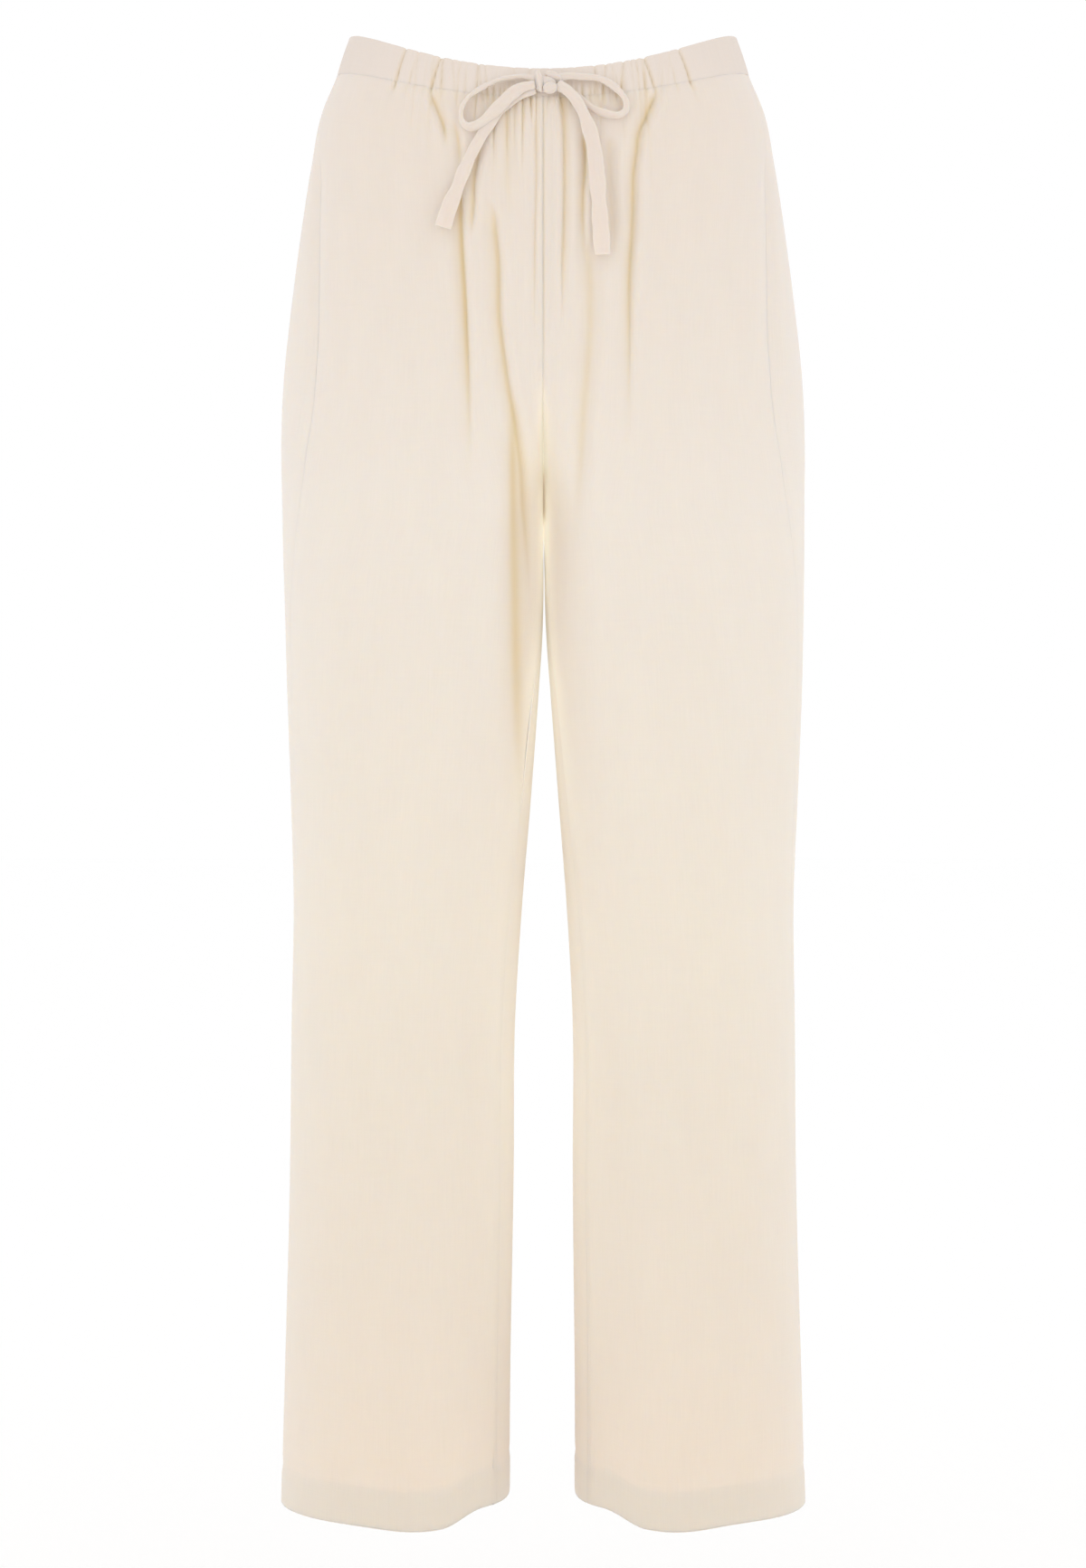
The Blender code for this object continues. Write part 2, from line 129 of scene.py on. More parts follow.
def cubic(values: Array, slopes: Array, lower: Array, t: Array, step: Array | float = 1.0) -> Array:
    """Smooth values between the rows of a table, on cubics that share their slopes at the rows.

    Args:
        values: The table's values, row by row.
        slopes: Slope at each row.
        lower: Number of the row below each wanted place.
        t: Share of the way from that row to the next.
        step: Distance between the two rows, in the slopes' measure.

    Returns:
        The values at the wanted places.
    """
    return (values[lower] * (1 + 2 * t) * (1 - t) ** 2 + values[lower + 1] * t * t * (3 - 2 * t)
            + step * (slopes[lower] * t * (1 - t) ** 2 - slopes[lower + 1] * t * t * (1 - t)))


def read_table(rows: tuple, column: int, height: Array) -> Array:
    """Read a table smoothly.

    Args:
        rows: The table, from top to bottom. Each row starts with its height.
        column: Number of the column to read.
        height: Where to read it. Past the table's ends, the end rows hold.

    Returns:
        The column's values at those heights.
    """
    table = np.array(rows)[::-1]
    heights, values = table[:, 0], table[:, column]
    lower = np.clip(np.searchsorted(heights, height) - 1, 0, len(heights) - 2)
    step = heights[lower + 1] - heights[lower]
    t = np.clip((height - heights[lower]) / step, 0.0, 1.0)
    return cubic(values, np.gradient(values, heights), lower, t, step)


@dataclass(frozen=True)
class Figure:
    """The filled-out form of the cloth: level rings of a half, from inner front round to inner back."""

    seam_gap: float = 0.0001
    front_fork: float = 0.075
    back_fork: float = 0.150
    fork_spread: float = 0.90
    fork_soften: float = 10.0
    side_fullness: float = 0.12
    fullness_foot: float = 0.150
    fullness_fade: float = 0.200
    hem_front_dip: float = 0.0060
    hem_dip_place: float = -0.20
    hem_dip_spread: float = 0.50
    hem_inner_rise: float = 0.0085
    hem_rise_start: float = -0.42
    hem_rise_spread: float = 0.38
    hem_fade: float = 0.150
    samples: int = 240
    steady_across: float = 0.010
    inner_columns: int = 32
    inner_crowding: float = 1.6
    inner_detail: float = 0.30
    inner_fullness: float = 3.0
    inseam_start: float = 0.080

    def depth_share(self, across: Array, height: Array, fork: float) -> Array:
        """Share of the full depth across one half.

        Above the fork the half is half of one oval, and below it is a whole oval, the leg, a little squarer
        on its inner side. Between them the change follows a quarter of an ellipse at the centre seam, and is
        slower and softer further out.

        Args:
            across: Places from 0 at the centre to 1 at the outer side.
            height: Heights of those places.
            fork: How far above the crotch the change starts.

        Returns:
            The share at each place.
        """
        change = np.clip((CROTCH + fork - height) / (fork + self.fork_spread * across), 0.0, 1.0)
        one_oval = (1.0 - change ** 2) ** (1.0 + self.fork_soften * across)
        power = np.where(across < 0.5, self.inner_fullness, 2.0)
        leg = (1.0 - np.abs(1.0 - 2.0 * across) ** power) ** (2.0 / power)
        share = np.sqrt(leg * (1.0 - one_oval) + (1.0 - across ** 2) * one_oval)
        seat = smooth_step((height - CROTCH + self.fullness_foot) / self.fullness_fade)
        return share * (1.0 + self.side_fullness * across ** 2 * seat)

    def half_rings(self, heights: Array) -> Array:
        """Level rings of the left half, ovals that dip at the waist and are shaped at the hem.

        Args:
            heights: Height of each ring along the side seam.

        Returns:
            Points, ring by ring, from the inner front over the outer side to the inner back.
        """
        level = heights[:, None]
        across = np.sin(np.linspace(0.0, np.pi / 2, self.samples))[None, :] ** 2
        width = read_table(SECTIONS, 1, level)
        inner = np.maximum(read_table(SECTIONS, 4, level), 0.5 * self.seam_gap)
        front = -read_table(SECTIONS, 2, level) * self.depth_share(across, level, self.front_fork)
        back = read_table(SECTIONS, 3, level) * self.depth_share(across, level, self.back_fork)
        x = inner + (width - inner) * across
        front_z = level - read_table(DIP_ROWS, 1, level) * (1.0 - across ** 2)
        back_z = level - read_table(DIP_ROWS, 2, level) * (1.0 - across ** 2)
        hem = smooth_step(1.0 - (level - HEM) / self.hem_fade)
        place = 2.0 * across - 1.0
        rise = self.hem_inner_rise * smooth_step((self.hem_rise_start - place) / self.hem_rise_spread)
        dip = self.hem_front_dip * bell(place - self.hem_dip_place, self.hem_dip_spread)
        front_z = front_z + hem * (rise - dip * np.sqrt(1.0 - place ** 2))
        back_z = back_z + hem * rise
        ring = [np.concatenate((one, other[:, -2::-1]), axis=1)
                for one, other in ((x, x), (front, back), (front_z, back_z))]
        return np.stack(ring, axis=2)

    def side_seam(self, ring: Array, lengths: Array, height: float) -> float:
        """Length along a ring of the left half at which its side seam is."""
        seam_x = ring[self.samples - 1, 0] - read_table(SEAM_ROWS, 1, height)
        return np.interp(seam_x, ring[:self.samples, 0], lengths[:self.samples])

    def panel_points(self, heights: Array, face: Face, columns: int) -> Array:
        """Grid of one left panel, with finer columns towards the inner edge.

        The last columns share the way from a steady line near the inner edge round into the space between the
        legs, so that the others don't shift from row to row where that way gets longer.

        Args:
            heights: Height of each row along the side seam.
            face: Front or back.
            columns: Number of columns of faces.

        Returns:
            Points by row and column, from the inner edge to the side seam in front, and the other way behind.
        """
        even = np.linspace(0.0, 1.0, columns - self.inner_columns + 1)
        outer_share = even * (1.0 + self.inner_detail * (1.0 - even))
        inner_share = np.linspace(0.0, 1.0, self.inner_columns + 1)[1:] ** self.inner_crowding
        rows = []
        for ring, height in zip(self.half_rings(heights), heights):
            lengths = run_lengths(ring)
            front_x, front_lengths = ring[:self.samples, 0], lengths[:self.samples]
            side = self.side_seam(ring, lengths, height)
            inseam, end_gap = 0.0, 0.0
            if height < CROTCH:
                inseam = np.interp(front_x[0] + read_table(SEAM_ROWS, 2, height), front_x, front_lengths)
                inseam *= smooth_step((CROTCH - height) / self.inseam_start)
                end_gap = 0.5 * self.seam_gap
            steady_x = ring[0, 0] + self.steady_across
            if face is Face.FRONT:
                start, end = side - 0.5 * self.seam_gap, inseam + end_gap
                steady = np.interp(steady_x, front_x, front_lengths)
            else:
                start, end = side + 0.5 * self.seam_gap, lengths[-1] + inseam - end_gap
                steady = np.interp(steady_x, ring[:self.samples - 2:-1, 0], lengths[:self.samples - 2:-1])
            places = np.concatenate((start + (steady - start) * outer_share,
                                     steady + (end - steady) * inner_share))
            rows.append(at_lengths(places, np.concatenate((lengths, lengths[-1] + lengths[1:self.samples])),
                                   np.concatenate((ring, ring[1:self.samples]))))
        grid = np.array(rows)
        return grid[:, ::-1] if face is Face.FRONT else grid

    def band_points(self, heights: Array, face: Face, columns: int) -> Array:
        """Grid of the waistband's front or back.

        Args:
            heights: Height of each row along the side seam.
            face: Front or back.
            columns: Number of columns of faces.

        Returns:
            Points by row and column, from the wearer's right side seam to the left one.
        """
        rows = []
        for ring, height in zip(self.half_rings(heights), heights):
            lengths = run_lengths(ring)
            side = self.side_seam(ring, lengths, height)
            front = face is Face.FRONT
            ends = (0.0, side - 0.5 * self.seam_gap) if front else (lengths[-1], side + 0.5 * self.seam_gap)
            left = at_lengths(np.linspace(*ends, columns // 2 + 1), lengths, ring)
            left[0, 0] = 0.0
            rows.append(np.concatenate((left[:0:-1] * (-1.0, 1.0, 1.0), left)))
        return np.array(rows)

    def front_depth(self, x: float, z: float) -> float:
        """Depth of the cloth's face at a place on its front.

        Args:
            x: The place across.
            z: Its height.

        Returns:
            Its Y.
        """
        heights = np.linspace(BAND_TOP, CROTCH, 160)
        across = np.clip(abs(x) / read_table(SECTIONS, 1, heights), 0.0, 1.0)
        levels = heights - read_table(DIP_ROWS, 1, heights) * (1.0 - across ** 2)
        depths = read_table(SECTIONS, 2, heights) * self.depth_share(across, heights, self.front_fork)
        return -float(np.interp(z, levels[::-1], depths[::-1]))


FIGURE = Figure()


def outward_normals(grid: Array, around: bool = False) -> Array:
    """Unit normals of a grid of points, from the cross product of its two directions.

    Args:
        grid: Points by row, from top to bottom, and by column.
        around: Whether the last column meets the first.

    Returns:
        Normals that point away from the middle of the leg or seat.
    """
    down = np.gradient(grid, axis=0)
    along = np.roll(grid, -1, axis=1) - np.roll(grid, 1, axis=1) if around else np.gradient(grid, axis=1)
    normal = np.cross(down, along)
    normal /= np.maximum(np.linalg.norm(normal, axis=2, keepdims=True), 1e-12)
    middle = grid.mean(axis=1, keepdims=True)
    outward = np.sign(np.sum(normal[..., :2] * (grid - middle)[..., :2]))
    return normal * (outward if outward else 1.0)


def put_in_scene(name: str, data: bpy.types.ID) -> bpy.types.Object:
    """Put some data in the scene as an object at the origin."""
    new_object = bpy.data.objects.new(name, data)
    bpy.context.scene.collection.objects.link(new_object)
    return new_object


def grid_mesh(name: str, grids: list, around: bool, closed: bool) -> bpy.types.Object:
    """Make a smooth mesh of quads from grids of points.

    Args:
        name: The piece's name.
        grids: For each grid, its points by row and column, its flat coordinates, with one more column where
            it goes around, and directions at its points that the faces turn to.
        around: Whether each grid's last column meets its first.
        closed: Whether each grid's first and last rows are closed with a face.

    Returns:
        The new object, at the origin, with the flat coordinates in the UV map "cloth".
    """
    points, faces, flats = [], [], []
    start = 0
    for grid, flat, outward in grids:
        rows, columns = grid.shape[:2]
        row = np.arange(rows - 1)[:, None]
        column = np.arange(columns if around else columns - 1)[None, :]
        corners, places = (
            np.stack((row * width + column, (row + 1) * width + column, (row + 1) * width + after,
                      row * width + after), axis=-1).reshape(-1, 4)
            for width, after in ((columns, (column + 1) % columns), (columns + around, column + 1)))
        all_points = grid.reshape(-1, 3)
        along = all_points[corners[:, 3]] - all_points[corners[:, 0]]
        turn = np.cross(all_points[corners[:, 1]] - all_points[corners[:, 0]], along)
        turned = np.sum(turn * outward.reshape(-1, 3)[corners[:, 0]]) < 0.0
        if turned:
            corners, places = corners[:, ::-1], places[:, ::-1]
        faces += (corners + start).tolist()
        flat_places = [places.ravel()]
        for end in (0, rows - 1) if closed else ():
            place = np.arange(columns)[::-1 if turned == (end == 0) else 1]
            faces.append((start + end * columns + place).tolist())
            flat_places.append(end * (columns + around) + place)
        flats.append(flat.reshape(-1, 2)[np.concatenate(flat_places)])
        points.append(all_points)
        start += rows * columns
    mesh = bpy.data.meshes.new(name)
    mesh.from_pydata(np.concatenate(points).tolist(), [], faces)
    layer = mesh.uv_layers.new(name="cloth")
    layer.data.foreach_set("uv", np.concatenate(flats).ravel().astype(np.float32))
    mesh.shade_smooth()
    return put_in_scene(name, mesh)


def keep_values(mesh: bpy.types.Mesh, **values: Array) -> None:
    """Keep a value of each point under its name, as an attribute that the finish reads."""
    for name, value in values.items():
        layer = mesh.attributes.new(name, "FLOAT", "POINT")
        layer.data.foreach_set("value", value.ravel().astype(np.float32))


def mark_cut_edges(mesh: bpy.types.Mesh, lips: int = 0) -> None:
    """Shade a mesh flat across its cut edges, so that they leave no soft rim beside them.

    Args:
        mesh: Mesh of one grid. An edge of only one of its quads is a cut edge.
        lips: Number of points in a row of the grid, if its first and last columns are cut edges too.
    """
    edges = np.empty(len(mesh.loops), np.int32)
    mesh.loops.foreach_get("edge_index", edges)
    quads = sum(face.loop_total == 4 for face in mesh.polygons)
    sharp = np.bincount(edges[:4 * quads], minlength=len(mesh.edges)) == 1
    if lips:
        ends = np.empty(2 * len(mesh.edges), np.int32)
        mesh.edges.foreach_get("vertices", ends)
        first, second = ends[::2] % lips, ends[1::2] % lips
        sharp |= (first == second) & np.isin(first, (0, lips - 1))
    mesh.edges.foreach_set("use_edge_sharp", sharp)


@dataclass(frozen=True)
class Fold:
    """One crease, on a smooth line down the cloth, given as rows of height and place across.

    A fold that leans has a steep wall on one side of its line and a long soft one on the other.
    """

    path: tuple
    half_width: float
    depth: float
    lean: int = 0
    tint: float = 0.5
    ridge: float = 0.35
    fade_in: float = 0.015
    fade_out: float = 0.050
    steep_width: float = 0.45
    soft_width: float = 1.5
    steep_ridge: tuple = (1.6, 0.9)
    soft_ridge: tuple = (2.6, 1.3, 0.5)
    line_tint: tuple = (0.12, 0.42, 0.70)
    blur_tint: tuple = (0.60, 1.10, 0.22)

    def parts(self, x: Array, z: Array) -> tuple:
        """Distance of some points across the fold, and its strength there, which eases at its ends."""
        top, foot = self.path[0][0], self.path[-1][0]
        ease = smooth_step((top - z) / self.fade_in) * smooth_step((z - foot) / self.fade_out)
        return x - read_table(self.path, 1, z), ease

    def lift(self, x: Array, z: Array) -> Array:
        """Height of the cloth over its form.

        The trough is a bell on its steep side and an even decay on its soft side, with a low ridge past each,
        the higher one on the steep side. A ridge has its place, its width and its share, in half widths.

        Args:
            x: Places across.
            z: Their heights.

        Returns:
            Height at each place, below zero in the trough.
        """
        away, ease = self.parts(x, z)
        width = self.half_width
        side = away * (self.lean if self.lean else 1.0)
        steep = bell(side, self.steep_width * width if self.lean else width)
        soft = np.exp(-np.abs(side) / (self.soft_width * width)) if self.lean else bell(side, width)
        trough = np.where(side > 0.0, steep, soft)
        ridges = bell(side - self.steep_ridge[0] * width, self.steep_ridge[1] * width)
        place, spread, share = self.soft_ridge
        ridges += share * bell(side + place * width, spread * width)
        return self.depth * ease * (self.ridge * ridges - trough)

    def shade(self, x: Array, z: Array) -> Array:
        """How much painted shade shows in the trough: a narrow bell on its line and a faint broad one beside
        it.

        Args:
            x: Places across.
            z: Their heights.

        Returns:
            The tint at each place.
        """
        away, ease = self.parts(x, z)
        line, blur = (share * bell(away + place * self.lean * self.half_width, spread * self.half_width)
                      for place, spread, share in (self.line_tint, self.blur_tint))
        return self.tint * ease * (line + blur)


# Folds in rows of height and place across. Each fold's tint is painted shade in its trough and beside it.
FRONT_FOLDS = (
    Fold(((-0.0405, -0.079), (-0.0535, -0.0747), (-0.0625, -0.071), (-0.072, -0.0685), (-0.085, -0.0672)),
         0.003, 0.0034, lean=-1, tint=0.9, fade_in=0.01, fade_out=0.02),
    Fold(((-0.06, -0.062), (-0.08, -0.0585), (-0.1, -0.0576)), 0.0032, 0.0022, tint=0.65, fade_out=0.016),
    Fold(((-0.078, -0.0415), (-0.086, -0.0436), (-0.0997, -0.0467), (-0.1246, -0.0479), (-0.148, -0.0494)),
         0.0032, 0.0032, lean=1, tint=0.8, fade_out=0.02),
    Fold(((-0.104, -0.0573), (-0.1196, -0.057), (-0.1433, -0.0564), (-0.1682, -0.0548), (-0.218, -0.0523),
         (-0.2553, -0.051), (-0.315, -0.05)), 0.004, 0.0044, lean=1, tint=1.15, fade_out=0.12),
    Fold(((-0.115, -0.0398), (-0.1246, -0.0349), (-0.1433, -0.0324), (-0.162, -0.0305), (-0.198, -0.0299),
         (-0.2304, -0.0261), (-0.2528, -0.0224), (-0.2727, -0.0174), (-0.2926, -0.0125), (-0.335, -0.0098),
         (-0.4, -0.0095)), 0.0045, 0.0038, lean=1, tint=0.85, fade_in=0.03, fade_out=0.09),
    Fold(((-0.245, -0.0215), (-0.3051, -0.0185), (-0.3673, -0.018), (-0.442, -0.017), (-0.56, -0.016)),
         0.0085, 0.0034, tint=0.9, ridge=0.2, fade_in=0.06, fade_out=0.14),
    Fold(((-0.06, -0.0052), (-0.0997, -0.0046), (-0.14, -0.0054), (-0.225, -0.0062)), 0.0015, 0.0011,
         tint=0.45, fade_out=0.08),
    Fold(((-0.056, -0.025), (-0.095, -0.0246), (-0.145, -0.024)), 0.005, 0.0014, tint=0.25),
    Fold(((-0.04, 0.0126), (-0.06, 0.0136), (-0.08, 0.0143), (-0.1196, 0.0143), (-0.1727, 0.0131),
         (-0.215, 0.0137)), 0.0028, 0.0032, lean=-1, tint=0.7, fade_out=0.07),
    Fold(((-0.068, 0.027), (-0.0866, 0.0293), (-0.1196, 0.028), (-0.165, 0.0282)), 0.0028, 0.0032, lean=1,
         tint=0.95, fade_out=0.04),
    Fold(((-0.14, 0.029), (-0.1756, 0.0324), (-0.2055, 0.0324), (-0.2428, 0.0299), (-0.2677, 0.0274),
         (-0.3051, 0.0249), (-0.36, 0.0232)), 0.0065, 0.0036, tint=0.45, fade_in=0.03, fade_out=0.09),
    Fold(((-0.07, 0.0452), (-0.113, 0.0467), (-0.164, 0.0502)), 0.0048, 0.0018, tint=0.25, fade_out=0.03),
    Fold(((-0.04, 0.0792), (-0.0468, 0.0772), (-0.0574, 0.0734), (-0.0705, 0.0678), (-0.0866, 0.0654),
         (-0.0997, 0.0635), (-0.1196, 0.0629), (-0.1433, 0.0622), (-0.1595, 0.061), (-0.218, 0.0598),
         (-0.3, 0.059)), 0.0036, 0.0044, lean=1, tint=1.0, fade_in=0.01, fade_out=0.15),
    Fold(((-0.044, 0.0005), (-0.15, 0.0006), (-0.265, 0.0003)), 0.0013, 0.0003, tint=0.5, fade_out=0.06),
    # No depth: only painted shade, the dark slit where the legs meet below the crotch
    Fold(((-0.288, 0.0), (-0.318, 0.0), (-0.34, 0.0)), 0.0036, 0.0, tint=1.1, fade_in=0.03, fade_out=0.014),
    Fold(((-0.3, -0.09), (-0.44, -0.1), (-0.62, -0.095)), 0.016, 0.0016, tint=0.0, fade_in=0.08,
         fade_out=0.12),
    Fold(((-0.33, 0.095), (-0.46, 0.104), (-0.65, 0.098)), 0.016, 0.0016, tint=0.0, fade_in=0.08,
         fade_out=0.12),
)
BACK_FOLDS = (
    Fold(((-0.03, -0.108), (-0.062, -0.099), (-0.125, -0.095)), 0.004, 0.0026, lean=-1, tint=0.5),
    Fold(((-0.03, -0.08), (-0.11, -0.072), (-0.235, -0.066)), 0.0045, 0.004, lean=-1, tint=0.8, fade_out=0.1),
    Fold(((-0.03, -0.057), (-0.07, -0.054), (-0.14, -0.052)), 0.004, 0.0024, tint=0.4),
    Fold(((-0.03, -0.034), (-0.12, -0.031), (-0.2, -0.0285), (-0.29, -0.018)), 0.0045, 0.0042, lean=1,
         tint=0.8, fade_out=0.11),
    Fold(((-0.03, -0.01), (-0.06, -0.0095), (-0.12, -0.01)), 0.003, 0.002, tint=0.4),
    Fold(((-0.03, 0.009), (-0.08, 0.0085), (-0.15, 0.008)), 0.003, 0.0022, lean=-1, tint=0.5),
    Fold(((-0.03, 0.026), (-0.1, 0.029), (-0.17, 0.027), (-0.27, 0.017)), 0.0045, 0.0038, lean=-1, tint=0.7,
         fade_out=0.09),
    Fold(((-0.03, 0.05), (-0.075, 0.0485), (-0.15, 0.045)), 0.004, 0.0022, tint=0.4),
    Fold(((-0.03, 0.076), (-0.13, 0.072), (-0.29, 0.063)), 0.0048, 0.004, lean=1, tint=0.8, fade_out=0.12),
    Fold(((-0.03, 0.106), (-0.06, 0.098), (-0.12, 0.095)), 0.004, 0.0024, lean=1, tint=0.5),
    Fold(((-0.27, -0.056), (-0.4, -0.08), (-0.62, -0.09)), 0.015, 0.003, tint=0.2, fade_in=0.08,
         fade_out=0.16),
    Fold(((-0.29, 0.062), (-0.42, 0.082), (-0.66, 0.09)), 0.015, 0.003, tint=0.2, fade_in=0.08,
         fade_out=0.16),
)


@dataclass(frozen=True)
class Gathers:
    """Small pleats that the elastic draws in at the waist: narrow valleys with rounded cloth between them.

    Most are drawn with a fixed seed, uneven in place, lean, depth and reach. The placed ones are rows of the
    same values: place along the waist, lean to the side on the way down, depth, reach up the casing and reach
    below it.
    """

    half_reach: float
    pitch: float
    depth: float
    seed: int
    quiet_middle: float = 0.0
    half_width: float = 0.0012
    placed: tuple = ()
    quiet_spread: tuple = (0.05, 0.25)
    end_easing: tuple = (0.70, 0.30, 0.55)
    place_range: float = 0.36
    lean_range: float = 0.10
    depth_range: tuple = (0.35, 1.30)
    up_range: tuple = (0.014, 0.050)
    down_range: tuple = (0.010, 0.050)
    down_power: float = 1.8

    def valleys(self) -> Array:
        """Work out all the valleys: shallower near the middle and the ends of their reach, and uneven.

        Returns:
            Rows of the same values as the placed ones, which come last.
        """
        draw = np.random.default_rng(self.seed)
        count = 2 * round(self.half_reach / self.pitch)
        place = (np.arange(count) - 0.5 * (count - 1)) * self.pitch
        place = place + self.pitch * draw.uniform(-self.place_range, self.place_range, count)
        share = np.abs(place) / self.half_reach
        quiet_place, quiet_width = self.quiet_spread
        easing_start, easing_width, easing = self.end_easing
        swell = 1.0 - self.quiet_middle * bell(share - quiet_place, quiet_width) \
            - easing * smooth_step((share - easing_start) / easing_width)
        depth = self.depth * swell * draw.uniform(*self.depth_range, count)
        lean = draw.uniform(-self.lean_range, self.lean_range, count)
        up = draw.uniform(*self.up_range, count)
        down = draw.uniform(0.0, 1.0, count) ** self.down_power
        rows = np.stack((place, lean, depth, up, self.down_range[0] + self.down_range[1] * down), axis=1)
        return np.concatenate((rows, np.array(self.placed))) if self.placed else rows

    def lift(self, along: Array, drop: Array) -> Array:
        """Height of the cloth over its form.

        Each valley is a pointed dip, an even decay from its line, and fades away from the seam as a bell.

        Args:
            along: Places along the waist.
            drop: Their distances below the casing's seam.

        Returns:
            Height at each place, below zero in the valleys.
        """
        total = np.zeros(np.broadcast(along, drop).shape)
        for place, lean, depth, up, down in self.valleys():
            away = np.abs(along - place - lean * drop)
            total -= depth * np.exp(-((drop / np.where(drop < 0.0, up, down)) ** 2) - away / self.half_width)
        return total


GATHERS = {
    Face.FRONT: Gathers(0.088, 0.005, 0.0014, seed=11, quiet_middle=0.45, half_width=0.0008, placed=(
        (-0.1022, -0.24, 0.0024, 0.03, 0.009), (-0.0928, -0.22, 0.0011, 0.018, 0.008),
        (-0.0772, -0.22, 0.0024, 0.034, 0.006), (-0.0706, -0.04, 0.0018, 0.03, 0.01),
        (-0.0386, 0.02, 0.0018, 0.008, 0.01), (-0.034, 0.0, 0.0024, 0.008, 0.044),
        (-0.0292, 0.03, 0.0019, 0.008, 0.014), (-0.0258, 0.02, 0.0024, 0.008, 0.04),
        (-0.0199, 0.01, 0.0024, 0.006, 0.034), (-0.014, 0.0, 0.0027, 0.006, 0.044),
        (-0.0086, 0.04, 0.0029, 0.005, 0.018), (-0.0046, 0.0, 0.0019, 0.005, 0.03),
        (0.0118, 0.02, 0.0027, 0.005, 0.014), (0.019, 0.04, 0.0019, 0.009, 0.01),
        (0.0226, 0.02, 0.0015, 0.01, 0.008), (0.027, 0.03, 0.0021, 0.01, 0.014),
        (0.0326, 0.0, 0.0014, 0.01, 0.01), (0.0357, 0.03, 0.0018, 0.009, 0.008),
        (0.0418, 0.02, 0.0021, 0.01, 0.012), (0.0462, 0.0, 0.0014, 0.011, 0.009),
        (0.0505, 0.02, 0.0019, 0.012, 0.009), (0.0542, 0.03, 0.0014, 0.012, 0.01),
        (0.0706, 0.08, 0.0014, 0.026, 0.01), (0.0768, 0.24, 0.0024, 0.034, 0.006),
        (0.092, 0.2, 0.001, 0.016, 0.008), (0.1023, 0.28, 0.0024, 0.03, 0.01))),
    Face.BACK: Gathers(0.15, 0.0078, 0.002, seed=4, half_width=0.0016),
}
# How much painted shade a metre of depth in the gathers puts in them
GATHER_SHADE = 320.0
# Light that the legs throw on each other: heights, and shares at those heights
INNER_LIGHT = ((HEM, -0.90, -0.73, -0.60, -0.50, -0.40, -0.35, -0.30, -0.22),
               (0.0, 0.25, 0.45, 0.40, 0.25, 0.10, 0.15, 0.40, 0.40))
# More of it in the crevice between them, in the same way
CREVICE_LIGHT = (
    (-0.58, -0.54, -0.5, -0.45, -0.405, -0.386, -0.367, -0.349, -0.327, -0.317, -0.305, -0.28, -0.25, -0.21),
    (0.0, 0.2, 0.4, 0.6, 0.52, 0.65, 0.75, 0.9, 0.98, 0.95, 0.7, 0.55, 0.38, 0.0),
)
# The cloth's colour from the waist to the hem, with painted light and shade that darken the waist and the hem:
# the height reached, and rows of height, red, green and blue
TONE_REACH = 1.05
CLOTH_TONES_WITH_PAINTED_LIGHT = ((0.0, 0.768, 0.682, 0.617), (-0.33, 0.836, 0.748, 0.675), (-0.62, 0.852, 0.748, 0.648),
               (-1.00, 0.790, 0.690, 0.598))


@dataclass(frozen=True)
class Nodes:
    """The nodes of a material or of the sky, with short ways to add more."""

    tree: bpy.types.NodeTree

    def fill(self, node: bpy.types.Node, inputs: dict) -> None:
        """Give a node's inputs what each takes.

        Args:
            node: The node.
            inputs: Another node's output or a constant for each input, by its name or number.
        """
        for name, value in inputs.items():
            if isinstance(value, Socket):
                self.tree.links.new(value, node.inputs[name])
            else:
                node.inputs[name].default_value = value

    def add(self, kind: str, inputs: dict, **settings: object) -> bpy.types.Node:
        """Add a shader node.

        Args:
            kind: What kind of shader node it is.
            inputs: What its inputs take, by name or number.
            **settings: Its own settings, by name.

        Returns:
            The new node.
        """
        node = self.tree.nodes.new(f"ShaderNode{kind}")
        for name, value in settings.items():
            setattr(node, name, value)
        self.fill(node, inputs)
        return node

    def mixed(self, operation: str, first: Socket, second: Socket | float) -> Socket:
        """Two values, or a value and a number, put together by a Math node."""
        return self.add("Math", {0: first, 1: second}, operation=operation).outputs["Value"]

    def tinted(self, share: Socket, first: Socket, tint: tuple) -> Socket:
        """A colour that goes from the first one to a tint as the share goes from 0 to 1."""
        inputs = {"A": first, "B": (*tint, 1.0), "Factor": share}
        return self.add("Mix", inputs, data_type="RGBA").outputs["Result"]

    def noise(self, uv: Socket, scale: tuple, repeats: float = 1.0, detail: float = 3.0) -> Socket:
        """Noise on the cloth, drawn out by a different scale across and down it."""
        place = self.add("Mapping", {"Vector": uv, "Scale": (*scale, 1.0)}).outputs["Vector"]
        return self.add("TexNoise", {"Vector": place, "Scale": repeats, "Detail": detail}).outputs["Fac"]


